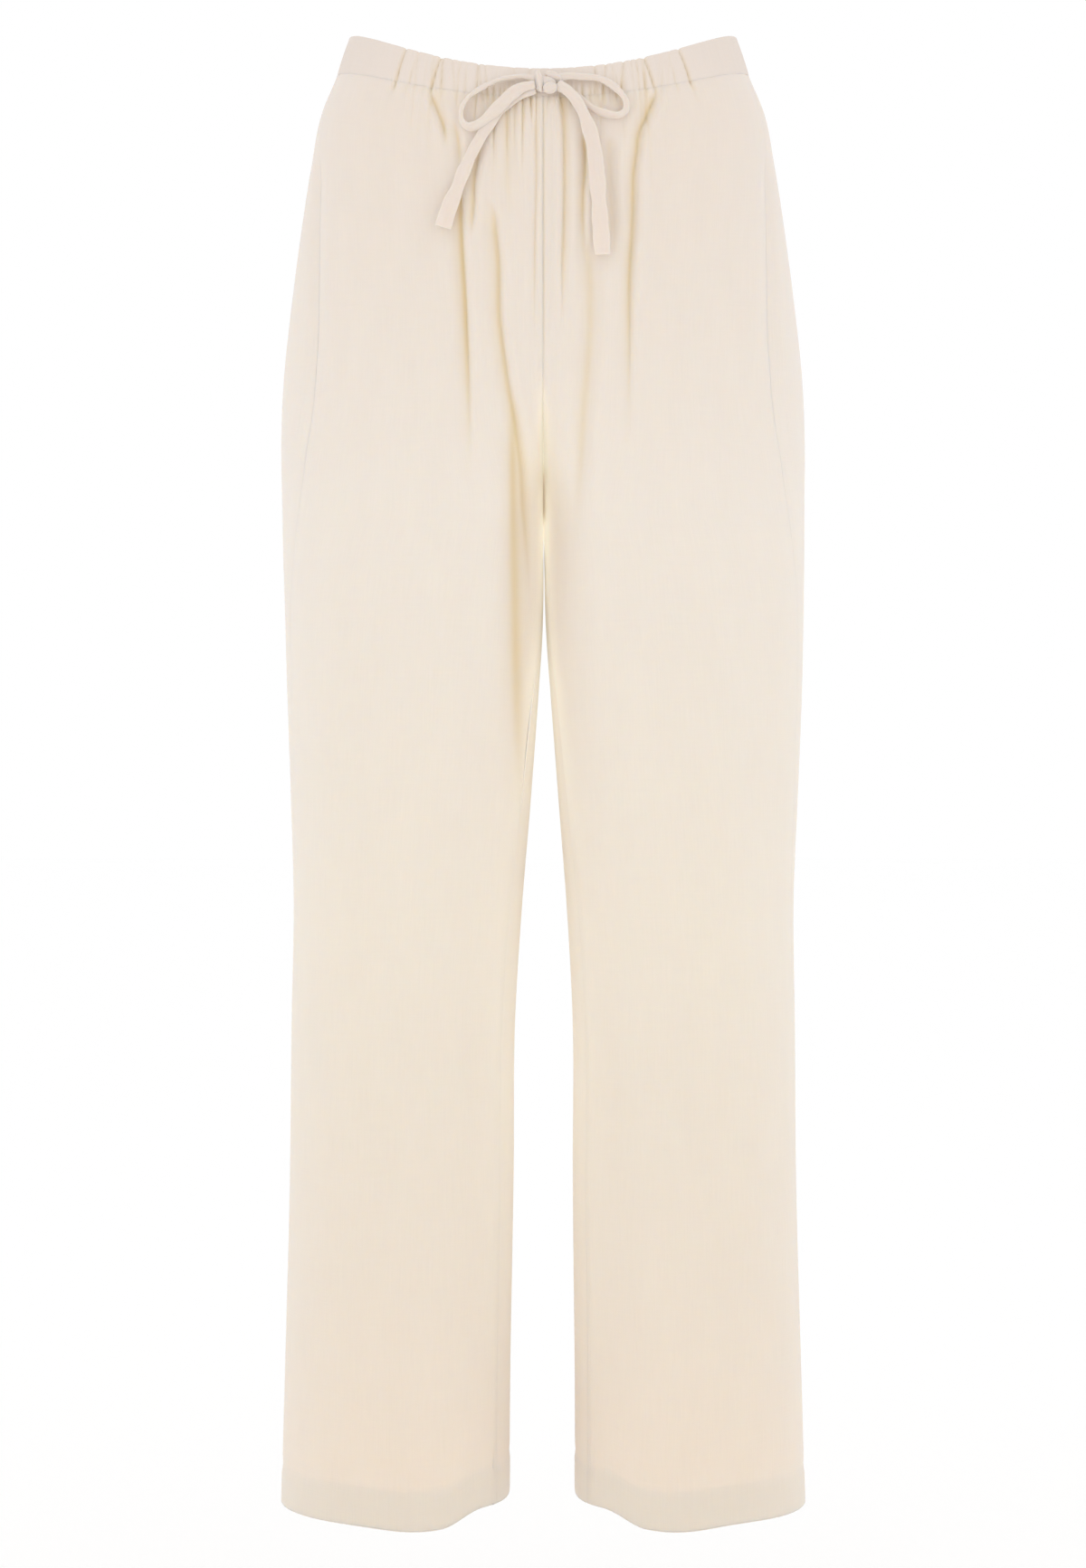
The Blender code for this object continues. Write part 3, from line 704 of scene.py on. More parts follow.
@dataclass(frozen=True)
class Linen:
    """Plain-weave linen: slubbed warp and weft, a soft sheen, and painted shade, darker and warmer, in the
    folds.

    Lengths are in metres on the cloth's own UV map.
    """

    name: str
    colour: tuple = (1.0, 1.0, 1.0)
    # Colours of the painted shade in folds and gathers, and of the painted light between the legs
    shade_colour: tuple = (0.74, 0.60, 0.385)
    painted_light_colour: tuple = (0.92, 0.875, 0.775)
    thread: float = 0.00085
    slub_length: float = 0.030
    slub_strength: float = 0.05
    weft_share: float = 0.55
    broad_repeats: tuple = (60.0, 14.0)
    broad_strength: float = 0.030
    weave_bump: float = 0.00010
    crumple: float = 0.00035
    crumple_stretch: float = 0.45
    crumple_repeats: float = 55.0
    roughness: float = 0.88
    specular: float = 0.18
    sheen: float = 0.08
    sheen_roughness: float = 0.45
    soft_share: float = 0.7
    soft_reach: float = 0.002
    soft_colour: tuple = (1.0, 0.8, 0.55)
    glow: float = 0.20

    @cache
    def material(self) -> bpy.types.Material:
        """Build the node material, once for each finish.

        The threads are noise drawn out along the warp and the weft. They change the colour a little and stand
        up as bump, with soft crumples. Painted shade darkens the folds and gathers. The light that the legs
        throw on each other is painted: it lightens the colour and is a faint emission.

        Returns:
            A Principled material.
        """
        material = bpy.data.materials.new(self.name)
        material.use_nodes = True
        nodes = Nodes(material.node_tree)
        uv = nodes.add("UVMap", {}, uv_map="cloth").outputs["UV"]
        warp = nodes.noise(uv, (1.0 / self.thread, 1.0 / self.slub_length))
        weft = nodes.noise(uv, (1.0 / self.slub_length, 1.0 / self.thread))
        slubs = nodes.mixed("ADD", warp, nodes.mixed("MULTIPLY", weft, self.weft_share))
        broad = nodes.mixed("MULTIPLY", nodes.noise(uv, self.broad_repeats), self.broad_strength)
        tone = nodes.mixed("ADD", nodes.mixed("MULTIPLY", slubs, self.slub_strength), broad)
        middle = 0.5 * (1.0 + self.weft_share) * self.slub_strength + 0.5 * self.broad_strength
        tone = nodes.mixed("ADD", tone, 1.0 - middle)
        crumples = nodes.noise(uv, (1.0, self.crumple_stretch), self.crumple_repeats, 4.0)
        height = nodes.mixed("ADD", nodes.mixed("MULTIPLY", slubs, self.weave_bump),
                             nodes.mixed("MULTIPLY", crumples, self.crumple))
        bump = nodes.add("Bump", {"Strength": 1.0, "Distance": 1.0, "Height": height})

        inner, shade = (nodes.add("Attribute", {}, attribute_name=name).outputs["Fac"]
                        for name in ("inner", "shade"))
        # Painted light where the legs light each other, then painted shade in the folds and gathers
        colour = nodes.tinted(inner, self.cloth_tone_with_painted_light(nodes), self.painted_light_colour)
        colour = nodes.tinted(shade, colour, self.shade_colour)
        toned = nodes.add("VectorMath", {0: colour, "Scale": tone}, operation="SCALE")
        nodes.fill(nodes.tree.nodes["Principled BSDF"], {
            "Base Color": toned.outputs["Vector"], "Normal": bump.outputs["Normal"],
            "Roughness": self.roughness, "Specular IOR Level": self.specular,
            "Sheen Weight": self.sheen, "Sheen Roughness": self.sheen_roughness,
            "Subsurface Weight": self.soft_share, "Subsurface Radius": self.soft_colour,
            "Subsurface Scale": self.soft_reach, "Emission Color": (*self.painted_light_colour, 1.0),
            "Emission Strength": nodes.mixed("MULTIPLY", inner, self.glow)})
        return material

    def cloth_tone_with_painted_light(self, nodes: Nodes) -> Socket:
        """Add the cloth's colour times the piece's colour, with painted light and shade that darken it at the
        waist and the hem.

        Args:
            nodes: The material's nodes.

        Returns:
            The colour.
        """
        place = nodes.add("TexCoord", {}).outputs["Object"]
        height = nodes.add("SeparateXYZ", {"Vector": place}).outputs["Z"]
        ramp = nodes.add("ValToRGB", {"Fac": nodes.mixed("MULTIPLY", height, -1.0 / TONE_REACH)})
        stops = ramp.color_ramp.elements
        while len(stops) < len(CLOTH_TONES_WITH_PAINTED_LIGHT):
            stops.new(1.0)
        for stop, (level, *tone) in zip(stops, CLOTH_TONES_WITH_PAINTED_LIGHT):
            stop.position = -level / TONE_REACH
            stop.color = (*(one * own for one, own in zip(tone, self.colour)), 1.0)
        return ramp.outputs["Color"]


LINEN = Linen("linen")
LINEN_GATHERED = Linen("linen_gathered", crumple=0.0005, soft_share=0.10)
LINEN_TURNED = Linen("linen_turned", (0.98, 0.97, 0.96))
# The tape is a little darker than the cloth: painted shade against the extra light on the standing tape
LINEN_TAPE = Linen("linen_tape", (0.96, 0.97, 0.98), thread=0.0006, slub_length=0.012, crumple=0.0002)


def dress(piece: bpy.types.Object, linen: Linen, node: str) -> None:
    """Give a finished piece its material and its body, and hide the CAD node that it stands for.

    Args:
        piece: The piece.
        linen: Its finish.
        node: The CAD node.
    """
    piece.data.materials.append(linen.material())
    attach(piece, BODY)
    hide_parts(node)
    LOG.info("%s: %d faces", piece.name, len(piece.data.polygons))


def add_wall(piece: bpy.types.Object, wall: float) -> None:
    """Turn an open shell into a wall on its inner side."""
    solidify = piece.modifiers.new("wall", "SOLIDIFY")
    solidify.thickness = wall
    solidify.offset = -1.0
    solidify.use_even_offset = False


@dataclass
class Panel:
    """One cut leg piece, from the waist seam to the hem fold."""

    face: Face
    side: Side
    front_columns: int = 156
    back_columns: int = 132
    top_rows: int = 116
    fork_rows: int = 44
    leg_rows: int = 136
    fork_zone: float = 0.050
    fork_crowding: tuple = (0.8, 0.2)
    leg_crowding: float = 1.22
    wall: float = 0.0009
    top_gap: float = 0.0002
    top_tuck: float = 0.00012
    top_tuck_half_width: float = 0.0014
    fold_facing: float = 0.050
    gather_shade_most: float = 0.65
    wave: float = 0.0012
    wave_length: float = 0.071
    wave_slant: float = 0.05
    wave_turns: float = 2.3
    wave_top: float = 0.06
    wave_fade: float = 0.20
    seam_tuck: float = 0.00025
    seam_half_width: float = 0.0014
    pocket_top: float = -0.070
    pocket_foot: float = -0.265
    pocket_fade_in: float = 0.030
    pocket_fade_out: float = 0.060
    pocket_depth: float = 0.0024
    pocket_half_width: float = 0.0085
    stitch_tuck: float = 0.0006
    stitch_half_width: float = 0.0012
    hem_inset: float = 0.001
    hem_step: float = 0.003
    hem_proud: float = 0.0003
    hem_shade: float = 0.06
    inner_power: float = 4.0
    crevice_half_width: float = 0.0055
    back_dimming: float = 0.60
    back_dim_height: float = -0.385
    back_dim_fade: float = 0.030
    shade_dimming: float = 0.9

    def heights(self) -> Array:
        """Place the rows: even to the fork, closer and closer to the crotch, then wider apart.

        Returns:
            Height of each row along the side seam.
        """
        fork = CROTCH + self.fork_zone
        upper = np.linspace(BAND_SEAM - self.top_gap, fork, self.top_rows + 1)
        even = np.linspace(0.0, 1.0, self.fork_rows + 1)
        crowded, steady = self.fork_crowding
        lower = fork + (CROTCH - fork) * (crowded * np.sin(0.5 * np.pi * even) + steady * even)
        leg = CROTCH + (HEM - CROTCH) * np.linspace(0.0, 1.0, self.leg_rows + 1) ** self.leg_crowding
        return np.concatenate((upper, lower[1:], leg[1:]))

    def relief(self, grid: Array, heights: Array, normal: Array) -> tuple:
        """Height of the cloth over its form: folds, gathers, waves, seams, pocket mouth and hem stitching.

        Args:
            grid: Points of the form by row and column.
            heights: Height of each row along the side seam.
            normal: Outward normals of the form.

        Returns:
            Lift along the normal, the painted shade of the troughs from 0 to 1, and the painted light thrown
            by the other leg.
        """
        x, y, z = grid[..., 0] * self.side.value, grid[..., 1], grid[..., 2]
        front = self.face is Face.FRONT
        facing = np.clip(np.abs(y) / self.fold_facing, 0.0, 1.0) * ((y < 0.0) if front else (y > 0.0))
        folds = FRONT_FOLDS if front else BACK_FOLDS
        lift = sum(fold.lift(x, z) for fold in folds) * facing
        # Painted shade in the folds' troughs
        shade = sum(fold.shade(x, z) for fold in folds) * facing

        run = run_lengths(grid)
        from_inner, from_side = (run, run[:, -1:] - run) if front else (run[:, -1:] - run, run)
        drop = (BAND_SEAM - heights)[:, None]
        widening = from_inner[0].max() / from_inner.max(axis=1)[:, None]
        along = x if front else self.side.value * from_inner * widening
        gathers = GATHERS[self.face].lift(along, drop)
        lift += gathers
        # Painted shade in the gathers' valleys
        shade += np.clip(-gathers * GATHER_SHADE, 0.0, self.gather_shade_most)

        leg = smooth_step((CROTCH + self.wave_top - z) / self.wave_fade)
        wander = 2.0 * np.sin(self.wave_turns * z + self.side.value)
        lift += self.wave * leg * np.sin(2.0 * np.pi * (x + self.wave_slant * z) / self.wave_length + wander)
        lift -= self.seam_tuck * bell(from_side, self.seam_half_width)
        lift -= self.top_tuck * bell(drop, self.top_tuck_half_width)
        mouth = smooth_step((self.pocket_top - z) / self.pocket_fade_in)
        mouth = mouth * smooth_step((z - self.pocket_foot) / self.pocket_fade_out)
        lift -= mouth * self.pocket_depth * bell(from_side, self.pocket_half_width)

        above_hem = (heights - HEM)[:, None]
        lift -= self.stitch_tuck * bell(above_hem - HEM_DEPTH, self.stitch_half_width)
        turned = smooth_step((HEM_DEPTH - self.hem_inset - above_hem) / self.hem_step)
        lift += self.hem_proud * turned
        # Painted shade over the doubled cloth of the turned-up hem
        shade = np.clip(shade + self.hem_shade * turned, 0.0, 1.0)
        return lift, shade, self.inner_light(grid, heights, normal) * (1.0 - self.shade_dimming * shade)

    def inner_light(self, grid: Array, heights: Array, normal: Array) -> Array:
        """Light that the other leg throws: on what turns to it, and more in the crevice where the legs meet.

        Args:
            grid: Points of the form by row and column.
            heights: Height of each row along the side seam.
            normal: Outward normals of the form.

        Returns:
            How much light falls on each point.
        """
        strength = np.interp(heights, *INNER_LIGHT)[:, None]
        crevice = np.interp(heights, *CREVICE_LIGHT)[:, None]
        if self.face is Face.BACK:
            above = smooth_step((heights[:, None] - self.back_dim_height) / self.back_dim_fade)
            crevice = crevice * (1.0 - self.back_dimming * above)
        turned_in = np.clip(-normal[..., 0], 0.0, 1.0)
        reach = grid[..., 0] - grid[..., 0].min(axis=1, keepdims=True)
        return strength * turned_in ** self.inner_power \
            + crevice * turned_in ** 2 * bell(reach, self.crevice_half_width)

    def build(self) -> None:
        heights = self.heights()
        columns = self.front_columns if self.face is Face.FRONT else self.back_columns
        grid = FIGURE.panel_points(heights, self.face, columns)
        normal = outward_normals(grid)
        lift, shade, inner = self.relief(grid, heights, normal)
        sign = np.array((self.side.value, 1.0, 1.0))
        down = run_lengths(grid[:, columns // 2])
        flat = flat_grid(run_lengths(grid[len(grid) // 2])[None, :], -down[:, None])
        place, side = self.face.value, self.side.name.lower()
        points = (grid + normal * lift[..., None]) * sign
        piece = grid_mesh(f"leg_{place}_{side}", [(points, flat, normal * sign)], False, False)
        keep_values(piece.data, shade=shade, inner=inner)
        mark_cut_edges(piece.data)
        add_wall(piece, self.wall)
        dress(piece, LINEN, f"{place}_panel_{side}")


@dataclass
class Hem:
    """Turned-up end of a leg: the fold at its foot and the layer inside, all round."""

    side: Side
    columns: int = 150
    inner_rows: int = 12
    fold_rows: int = 8
    inner_gap: float = 0.0020
    wall: float = 0.0008
    fold_drop: float = 0.0010
    fold_length: float = 0.003

    def build(self) -> None:
        """Its profile runs down the inside of the lifted panels and turns out under them in half a circle.
        """
        levels = HEM + HEM_DEPTH * np.linspace(1.0, 0.0, self.inner_rows)
        halves = [FIGURE.panel_points(levels, face, self.columns // 2) for face in Face]
        lift = [Panel(face, self.side).relief(half, levels, outward_normals(half))[0]
                for face, half in zip(Face, halves)]
        ring = np.concatenate(halves, axis=1)
        normal = outward_normals(ring, around=True)
        ring = ring + normal * np.concatenate(lift, axis=1)[..., None]
        fold = [ring[-1] - normal[-1] * 0.5 * self.inner_gap * (1.0 + math.cos(turn))
                - (0.0, 0.0, self.fold_drop * math.sin(turn))
                for turn in np.linspace(0.0, np.pi, self.fold_rows + 1)[1:]]
        points = np.concatenate((ring - normal * self.inner_gap, np.array(fold)))
        sign = np.array((self.side.value, 1.0, 1.0))
        run = run_lengths(np.concatenate((ring[0], ring[0, :1])))
        depth = HEM_DEPTH + self.fold_length
        flat = flat_grid(run[None, :], -np.linspace(0.0, depth, len(points))[:, None])
        facing = -np.concatenate((normal, np.repeat(normal[-1:], len(fold), axis=0)))
        side = self.side.name.lower()
        piece = grid_mesh(f"turn_up_{side}", [(points * sign, flat, facing * sign)], True, False)
        mark_cut_edges(piece.data)
        add_wall(piece, self.wall)
        dress(piece, LINEN_TURNED, f"hem_{side}")


@dataclass
class Waistband:
    """Half of the gathered casing: a closed profile carried along the waist, drawn into small pleats."""

    face: Face
    columns: int = 460
    face_places: int = 18
    top_places: int = 6
    levels: int = 12
    level_margin: float = 0.05
    wall: float = 0.0026
    lap: float = 0.0010
    lip: tuple = (0.0004, 0.0001)
    puff: float = 0.0006
    puff_powers: tuple = (0.85, 0.7)
    crown: float = 0.045
    crown_start: float = 0.6
    top_pleats: float = 0.8
    inner_pleats: float = 0.5
    scallop: float = 1.10
    gather_ratio: float = 1.30
    shade_most: float = 0.7

    def profile(self) -> tuple:
        """Closed outline of the casing.

        Returns:
            Share of the height, distance inwards and share of the pleats at each place on the outline, which
            runs up the outer face from a thin lip over the panels, round the top and down the inner face.
        """
        face = np.linspace(0.0, 1.0, self.face_places)
        turn = np.linspace(0.0, np.pi, self.top_places + 2)[1:-1]
        bulge = self.puff * np.sin(np.pi * face ** self.puff_powers[0]) ** self.puff_powers[1]
        lip = -self.lap / (BAND_TOP - BAND_SEAM)
        climb = np.concatenate(((lip,), face, 1.0 + self.crown * np.sin(turn), face[::-1], (0.0, lip)))
        over = 0.5 * self.wall * (1.0 - np.cos(turn))
        inward = np.concatenate(((0.0,), -bulge, over, self.wall + bulge[::-1], self.lip))
        pleated = np.repeat((1.0, self.top_pleats, self.inner_pleats, 1.0),
                            (len(face) + 1, len(turn), len(face), 2))
        return climb, inward, pleated

    def build(self) -> None:
        """Each point of the outline is a point of the waist's form at its height, moved inwards by the outline
        and outwards by the pleats, whose tops rise over the casing's edge.
        """
        climb, inward, pleated = self.profile()
        share = np.linspace(1.0 + self.level_margin, -self.level_margin, self.levels)
        base = FIGURE.band_points(BAND_SEAM + (BAND_TOP - BAND_SEAM) * share, self.face, self.columns)
        place = np.interp(climb, share[::-1], np.arange(self.levels)[::-1])
        lower = np.minimum(place.astype(int), self.levels - 2)
        mix = (place - lower)[:, None, None]
        surface, outward = (values[lower] * (1.0 - mix) + values[lower + 1] * mix
                            for values in (base, outward_normals(base)))
        run = run_lengths(base[self.levels // 2])
        along = run - 0.5 * run[-1]
        coordinate = surface[..., 0] if self.face is Face.FRONT else \
            np.broadcast_to(along * (run_lengths(base[-1])[-1] / run[-1]), surface.shape[:2])
        gathers = GATHERS[self.face].lift(coordinate, -(climb * (BAND_TOP - BAND_SEAM))[:, None])
        points = surface + outward * (gathers * pleated[:, None] - inward[:, None])[..., None]
        crown = smooth_step((climb - self.crown_start) / (1.0 - self.crown_start))[:, None]
        points[..., 2] += self.scallop * crown * gathers

        ring = np.swapaxes(points, 0, 1)
        length = run_lengths(points[:, self.columns // 2])
        length = np.append(length, length[-1] + self.wall)
        flat = flat_grid((along * self.gather_ratio)[:, None], length[None, :])
        outward = ring - ring.mean(axis=1, keepdims=True)
        piece = grid_mesh(f"casing_{self.face.value}", [(ring, flat, outward)], True, True)
        # Painted shade in the gathers' valleys
        keep_values(piece.data, shade=np.clip(-gathers.T * GATHER_SHADE, 0.0, self.shade_most))
        mark_cut_edges(piece.data, len(climb))
        dress(piece, LINEN_GATHERED, f"waistband_{self.face.value}")


# Routes of the tie's strands: across, height, distance in front of the cloth, then turn and width of the tape
RIGHT_LOOP = (
    (-0.004, -0.0356, 0.0053, 34, 0.0052), (-0.0136, -0.0337, 0.005, 36, 0.005),
    (-0.0229, -0.0343, 0.005, 36, 0.0047), (-0.0316, -0.0368, 0.005, 36, 0.0046),
    (-0.0415, -0.0417, 0.005, 36, 0.0044), (-0.0502, -0.0479, 0.005, 36, 0.0042),
    (-0.0551, -0.0547, 0.005, 38, 0.0042), (-0.0564, -0.0615, 0.0052, 40, 0.0044),
    (-0.0545, -0.0676, 0.0056, 38, 0.005), (-0.0496, -0.0702, 0.006, 34, 0.006),
    (-0.0427, -0.0677, 0.0066, 26, 0.0072), (-0.0359, -0.0621, 0.0072, 14, 0.008),
    (-0.0291, -0.0553, 0.0076, 6, 0.0084), (-0.0217, -0.0479, 0.0078, 0, 0.0084),
    (-0.0146, -0.043, 0.0078, 4, 0.0078), (-0.0058, -0.0404, 0.0068, 10, 0.006),
)
LEFT_LOOP = (
    (0.0087, -0.0354, 0.0052, -26, 0.0058), (0.016, -0.0337, 0.0052, -30, 0.0058),
    (0.0248, -0.0337, 0.0052, -32, 0.0058), (0.0341, -0.0343, 0.005, -32, 0.0058),
    (0.0415, -0.0361, 0.0048, -32, 0.0058), (0.0483, -0.0405, 0.0047, -34, 0.0056),
    (0.0539, -0.046, 0.0046, -36, 0.0055), (0.057, -0.0522, 0.0046, -38, 0.0053),
    (0.0566, -0.0584, 0.0046, -40, 0.0052), (0.0516, -0.0615, 0.0046, -40, 0.0052),
    (0.0446, -0.0609, 0.0044, -38, 0.0052), (0.0372, -0.0584, 0.0038, -34, 0.0052),
    (0.0303, -0.0541, 0.0031, -24, 0.0052), (0.0244, -0.0494, 0.0026, -12, 0.0052),
    (0.0182, -0.0452, 0.0025, -6, 0.005), (0.0093, -0.042, 0.0034, 0, 0.0048),
)
RIGHT_TAIL = (
    (-0.0054, -0.0434, 0.0032, 0, 0.0056), (-0.014, -0.0466, 0.0027, 0, 0.0064),
    (-0.0215, -0.0512, 0.0028, 2, 0.007), (-0.0297, -0.0584, 0.003, 4, 0.0076),
    (-0.0352, -0.065, 0.0033, 6, 0.008), (-0.0396, -0.0718, 0.0038, 8, 0.0082),
    (-0.0436, -0.079, 0.0044, 12, 0.0084), (-0.0478, -0.0865, 0.005, 14, 0.0084),
    (-0.0515, -0.0945, 0.0055, 14, 0.0086), (-0.0552, -0.103, 0.0059, 10, 0.009),
    (-0.059, -0.113, 0.0063, 4, 0.0098), (-0.063, -0.1225, 0.0067, -2, 0.0106),
    (-0.0664, -0.132, 0.007, -6, 0.0112), (-0.0686, -0.1395, 0.0073, -8, 0.0114),
)
LEFT_TAIL = (
    (0.01, -0.04, 0.0072, 0, 0.006), (0.0155, -0.0442, 0.0078, 0, 0.007), (0.0212, -0.05, 0.0079, 0, 0.0076),
    (0.0256, -0.057, 0.0077, 0, 0.008), (0.029, -0.0645, 0.0072, -2, 0.0086),
    (0.0318, -0.0725, 0.0067, -4, 0.0094), (0.0341, -0.081, 0.0063, -4, 0.0102),
    (0.0355, -0.0895, 0.0061, -4, 0.0106), (0.0364, -0.0985, 0.006, -2, 0.0108),
    (0.0371, -0.1075, 0.006, 2, 0.0108), (0.0378, -0.1165, 0.0061, 6, 0.0108),
    (0.0384, -0.1255, 0.0063, 8, 0.0108), (0.039, -0.1345, 0.0065, 6, 0.011),
    (0.0396, -0.143, 0.0068, 2, 0.0112), (0.0402, -0.1515, 0.0071, -4, 0.0114),
    (0.0407, -0.159, 0.0074, -8, 0.0114),
)


@dataclass
class Tape:
    """One strand of the tie: a flat folded tape of linen, carried along its route."""

    route: tuple
    thickness: float = 0.0013
    around: int = 40
    step: float = 0.0007
    fine_steps: int = 40
    least_rings: int = 8
    flat_width: float = 0.0116
    squareness: tuple = (0.62, 0.60)
    crease: float = 0.00018
    crease_half_width: float = 0.0007
    crease_evenness: float = 0.6
    crease_length: float = 0.011
    fold_height: float = 0.0011
    fold_place: float = -0.15
    fold_round: float = 0.02
    pucker: float = 0.00020
    pucker_length: float = 0.0017
    pucker_wander: float = 2.5
    wander_length: float = 0.006
    edge_ripple: float = 0.00025
    ripple_lengths: tuple = (0.0031, 0.0053)
    end_round: float = 0.0007
    end_least: float = 0.25
    end_narrowing: float = 0.0004
    band_proud: float = 0.0006

    def path(self) -> Array:
        """Carry the strand on a smooth curve through its route, in even steps.

        Returns:
            Rows of the strand in space: point, turn in degrees and width.
        """
        table = np.array([(x, FIGURE.front_depth(x, z) - off - self.band_proud, z, turn, width)
                          for x, z, off, turn, width in self.route])
        fine = np.linspace(0.0, len(table) - 1.0, self.fine_steps * len(table))
        lower = np.minimum(fine.astype(int), len(table) - 2)
        curve = cubic(table, np.gradient(table, axis=0), lower, (fine - lower)[:, None])
        lengths = run_lengths(curve[:, :3])
        rings = max(self.least_rings, round(lengths[-1] / self.step))
        return at_lengths(np.linspace(0.0, lengths[-1], rings), lengths, curve)

    def outline(self) -> tuple:
        """Outline of the tape's section, an oval pulled towards a rectangle.

        Returns:
            Half widths and half thicknesses at each place around it, and the length around it on the cloth.
        """
        angle = 2.0 * np.pi * np.arange(self.around + 1) / self.around
        across, through = (np.sign(part) * np.abs(part) ** power
                           for part, power in zip((np.cos(angle), np.sin(angle)), self.squareness))
        around = run_lengths(0.5 * np.stack((across * self.flat_width, through * self.thickness), axis=1))
        return across, through, around * 2.0 * self.flat_width / around[-1]

    def rings(self) -> tuple:
        """Rings of the strand.

        The section stands on the path's tangent. Its face looks away from the cloth, turned about the tangent
        by the row's turn. It is folded a little along a line near its middle, its edges pucker as a sewn edge
        does, and its ends are rounded.

        Returns:
            Points by ring and place, their flat coordinates and their directions from the ring's middle.
        """
        path = self.path()
        centre, turn, width = path[:, :3], np.radians(path[:, 3]), path[:, 4]
        tangent = np.gradient(centre, axis=0)
        tangent /= np.linalg.norm(tangent, axis=1, keepdims=True)
        face = np.array((0.0, -1.0, 0.0)) + tangent * tangent[:, 1:2]
        face /= np.linalg.norm(face, axis=1, keepdims=True)
        side = np.cross(tangent, face)
        cosine, sine = np.cos(turn)[:, None], np.sin(turn)[:, None]
        face, side = face * cosine + side * sine, side * cosine - face * sine
        across, through, around = self.outline()
        run = run_lengths(centre)
        from_end = np.minimum(run, run[-1] - run)
        ends = np.sqrt(np.clip(1.0 - (1.0 - from_end / self.end_round) ** 2, 0.0, 1.0))
        ends = np.where(from_end < self.end_round, np.maximum(ends, self.end_least), 1.0)
        long_ripple, short_ripple = (run / length for length in self.ripple_lengths)
        ripple = self.edge_ripple * (np.sin(long_ripple + 1.0) + np.sin(short_ripple))
        half = 0.5 * width - self.end_narrowing * (1.0 - ends) + ripple
        spread = across[None, :-1] * half[:, None]
        lift = through[None, :-1] * 0.5 * self.thickness * ends[:, None]
        swing = (1.0 - self.crease_evenness) * np.sin(run / self.crease_length)
        depth = self.crease * (self.crease_evenness + swing)[:, None]
        lift = lift - np.sign(lift) * depth * bell(spread, self.crease_half_width) * ends[:, None]
        share = spread / half[:, None]
        bow = self.fold_height * (1.0 - np.sqrt((share - self.fold_place) ** 2 + self.fold_round))
        wander = self.pucker_wander * np.sin(run / self.wander_length)
        bow = bow + self.pucker * np.sin(run / self.pucker_length + wander)[:, None] * share ** 2
        points = centre[:, None] + side[:, None] * spread[..., None] + face[:, None] * (lift + bow)[..., None]
        return points, flat_grid(around[None, :], run[:, None]), points - points.mean(axis=1, keepdims=True)


@dataclass
class Lump:
    """A rounded lobe of the knot, a swollen ball with soft creases over it."""

    centre: tuple
    off: float
    half_size: tuple
    tilt: float = 0.0
    creases: int = 3
    crease: float = 0.0004
    crease_twist: float = 0.4
    fullness: float = 0.9
    pole: float = 0.02
    along: int = 26
    around: int = 36

    def rings(self) -> tuple:
        """Rings of the lobe from end to end: circles that swell as a sine, with a fourth power's creases.

        Returns:
            Points by ring and place, their flat coordinates and their directions from the ring's middle.
        """
        along = np.linspace(self.pole, np.pi - self.pole, self.along)[:, None]
        turn = 2.0 * np.pi * np.arange(self.around)[None, :] / self.around
        length, depth, height = self.half_size
        creases = np.cos(self.creases * 2.0 * (turn + self.crease_twist * along)) ** 4
        swell = 1.0 - self.crease / height * creases
        x = -length * np.cos(along) * np.ones_like(turn)
        y = depth * np.sin(along) ** self.fullness * np.cos(turn) * swell
        z = height * np.sin(along) ** self.fullness * np.sin(turn) * swell
        tilt = math.radians(self.tilt)
        x, z = x * math.cos(tilt) - z * math.sin(tilt), x * math.sin(tilt) + z * math.cos(tilt)
        points = np.stack((x + self.centre[0], y + (FIGURE.front_depth(*self.centre) - self.off),
                           z + self.centre[1]), axis=2)
        flat = flat_grid(np.linspace(0.0, 2.0 * np.pi * height, self.around + 1)[None, :], length * along)
        return points, flat, points - points.mean(axis=1, keepdims=True)


@dataclass
class Tie:
    """The drawstring: a knot, two loops and two free tails."""

    loop_width: float = 0.0070
    tail_width: float = 0.0100
    lumps: tuple = (Lump((0.0012, -0.0398), 0.0048, (0.0080, 0.0030, 0.0058), creases=2),
                    Lump((0.0073, -0.0340), 0.0066, (0.0066, 0.0030, 0.0032), tilt=-24.0, creases=1),
                    Lump((0.0049, -0.0430), 0.0074, (0.0050, 0.0032, 0.0042), tilt=8.0, creases=2),
                    Lump((-0.0026, -0.0380), 0.0078, (0.0076, 0.0030, 0.0027), tilt=-80.0, creases=1))

    def build(self) -> None:
        """Make the knot and the four strands."""
        knot = grid_mesh("tie_knot", [lump.rings() for lump in self.lumps], True, True)
        dress(knot, LINEN_TAPE, "bow_knot")
        for name, node, route, width, end in (
                ("tie_loop_right", "bow_loop_right", RIGHT_LOOP, self.loop_width, "knot"),
                ("tie_loop_left", "bow_loop_left", LEFT_LOOP, self.loop_width, "knot"),
                ("tie_tail_right", "drawstring_tail_right", RIGHT_TAIL, self.tail_width, "bare"),
                ("tie_tail_left", "drawstring_tail_left", LEFT_TAIL, self.tail_width, "bare")):
            tape = Tape(route)
            strand = grid_mesh(name, [tape.rings()], True, True)
            dress(strand, LINEN_TAPE, node)
            path = tape.path()[:, :3]


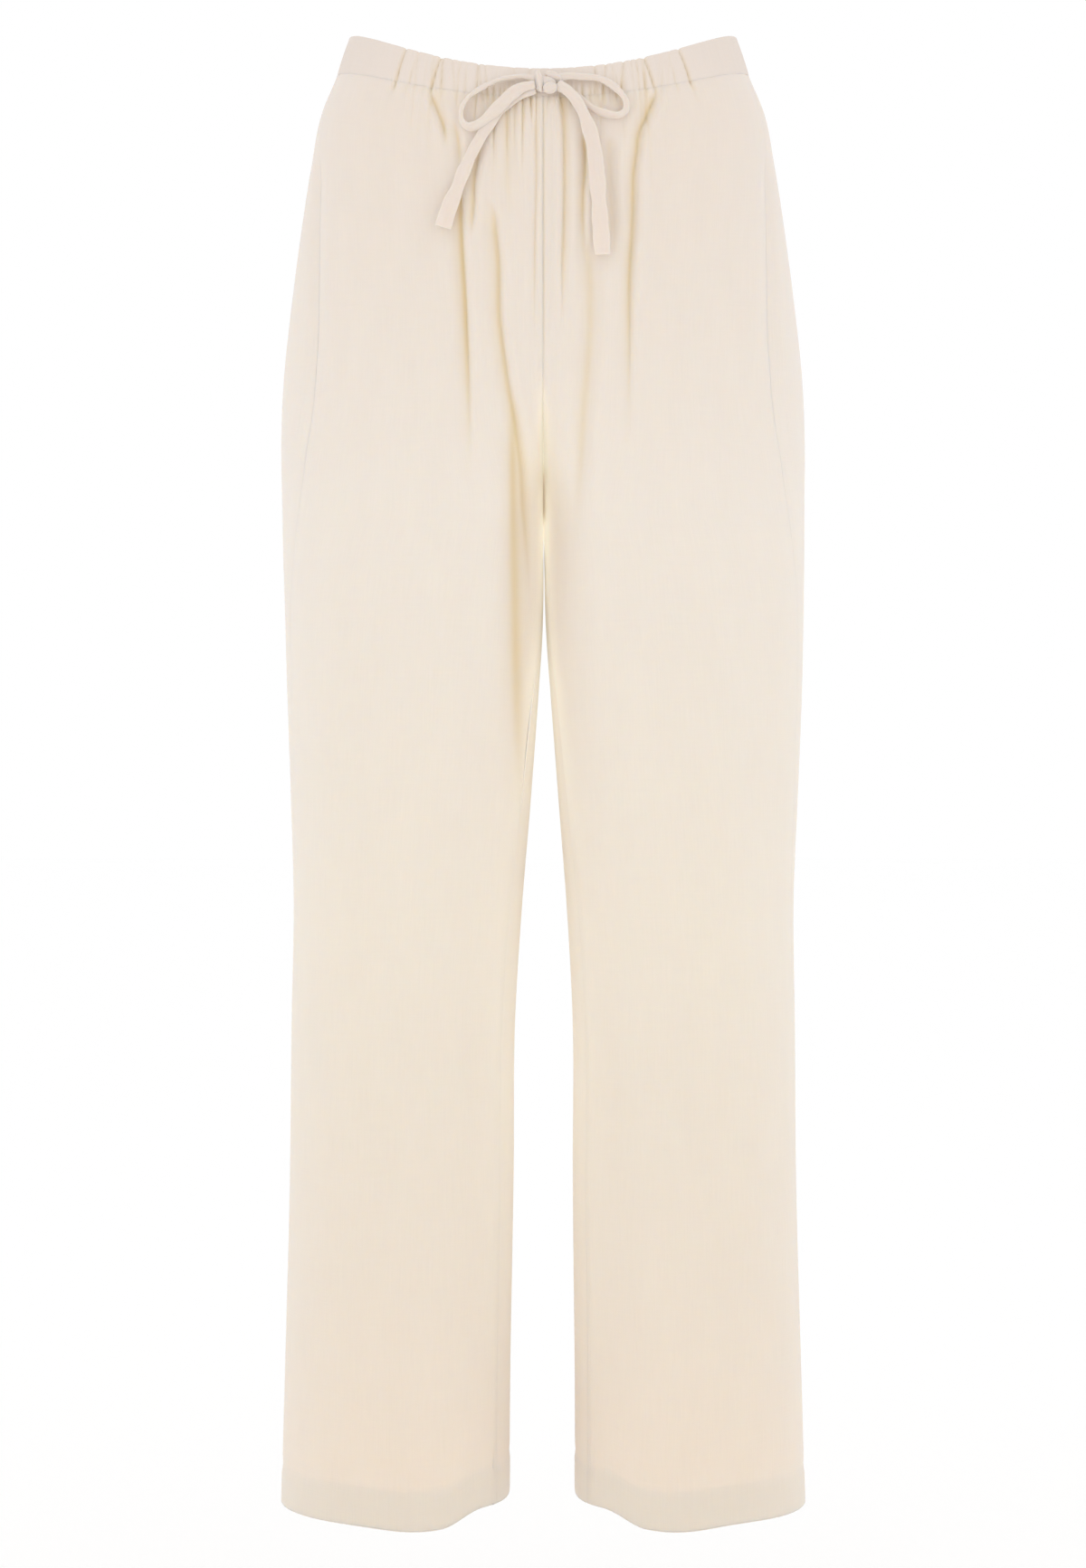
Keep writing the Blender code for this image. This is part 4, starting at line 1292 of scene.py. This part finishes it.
@dataclass
class Studio:
    """Plain pale floor, soft light and the camera."""

    distance: float = 2.6
    eye_height: float = -0.5208
    pixels_per_metre: float = 1540.0
    picture_height: float = 1733.0
    sensor: float = 36.0
    floor_height: float = -1.20
    floor_size: float = 60.0
    sky: float = 1.0
    lamp_place: tuple = (1.3, -2.7, -0.9)
    lamp_aim: tuple = (0.0, 0.0, -0.5)
    lamp_size: float = 1.2
    lamp_power: float = 5.5
    lamp_colour: tuple = (1.0, 0.93, 0.82)

    def build(self) -> None:
        """Make the camera, the floor, the world and the lamps."""
        scene = bpy.context.scene
        camera_data = bpy.data.cameras.new("camera")
        camera_data.sensor_fit = "VERTICAL"
        camera_data.sensor_height = self.sensor
        camera_data.lens = self.pixels_per_metre * self.distance / self.picture_height * self.sensor
        scene.camera = put_in_scene("camera", camera_data)
        scene.camera.location = (0.0, -self.distance, self.eye_height)
        scene.camera.rotation_euler = (math.radians(90.0), 0.0, 0.0)

        mesh = bpy.data.meshes.new("floor")
        corners = [(x * 0.5 * self.floor_size, y * 0.5 * self.floor_size, self.floor_height)
                   for x, y in ((-1.0, -1.0), (1.0, -1.0), (1.0, 1.0), (-1.0, 1.0))]
        mesh.from_pydata(corners, [], [(0, 1, 2, 3)])
        paint = bpy.data.materials.new("floor_paint")
        paint.use_nodes = True
        Nodes(paint.node_tree).fill(paint.node_tree.nodes["Principled BSDF"],
                                    {"Base Color": (1.0, 1.0, 1.0, 1.0), "Roughness": 1.0})
        mesh.materials.append(paint)
        put_in_scene("floor", mesh)

        world = bpy.data.worlds.new("studio")
        world.use_nodes = True
        Nodes(world.node_tree).fill(world.node_tree.nodes["Background"],
                                    {"Color": (1.0, 1.0, 1.0, 1.0), "Strength": self.sky})
        scene.world = world
        scene.view_settings.view_transform = "Standard"
        for side in Side:
            self.lamp(side)

    def lamp(self, side: Side) -> None:
        """Make a soft square lamp aimed at the middle of the trousers.

        Args:
            side: The side that it stands on.
        """
        data = bpy.data.lights.new(f"lamp_{side.name.lower()}", "AREA")
        data.size = self.lamp_size
        data.energy = self.lamp_power
        data.color = self.lamp_colour
        lamp = put_in_scene(data.name, data)
        lamp.location = np.array(self.lamp_place) * (side.value, 1.0, 1.0)
        aim = np.array(self.lamp_aim) - lamp.location
        tilt = math.atan2(math.hypot(aim[0], aim[1]), -aim[2])
        lamp.rotation_euler = (tilt, 0.0, math.atan2(-aim[0], aim[1]))


def main() -> None:
    """Build the sub-assemblies in order."""
    logging.basicConfig(level=logging.INFO, format="%(name)s: %(message)s")
    Studio().build()
    Tie().build()
    for side in Side:
        for face in Face:
            Panel(face, side).build()
        Hem(side).build()
    for face in Face:
        Waistband(face).build()


if __name__ == "__main__":
    main()
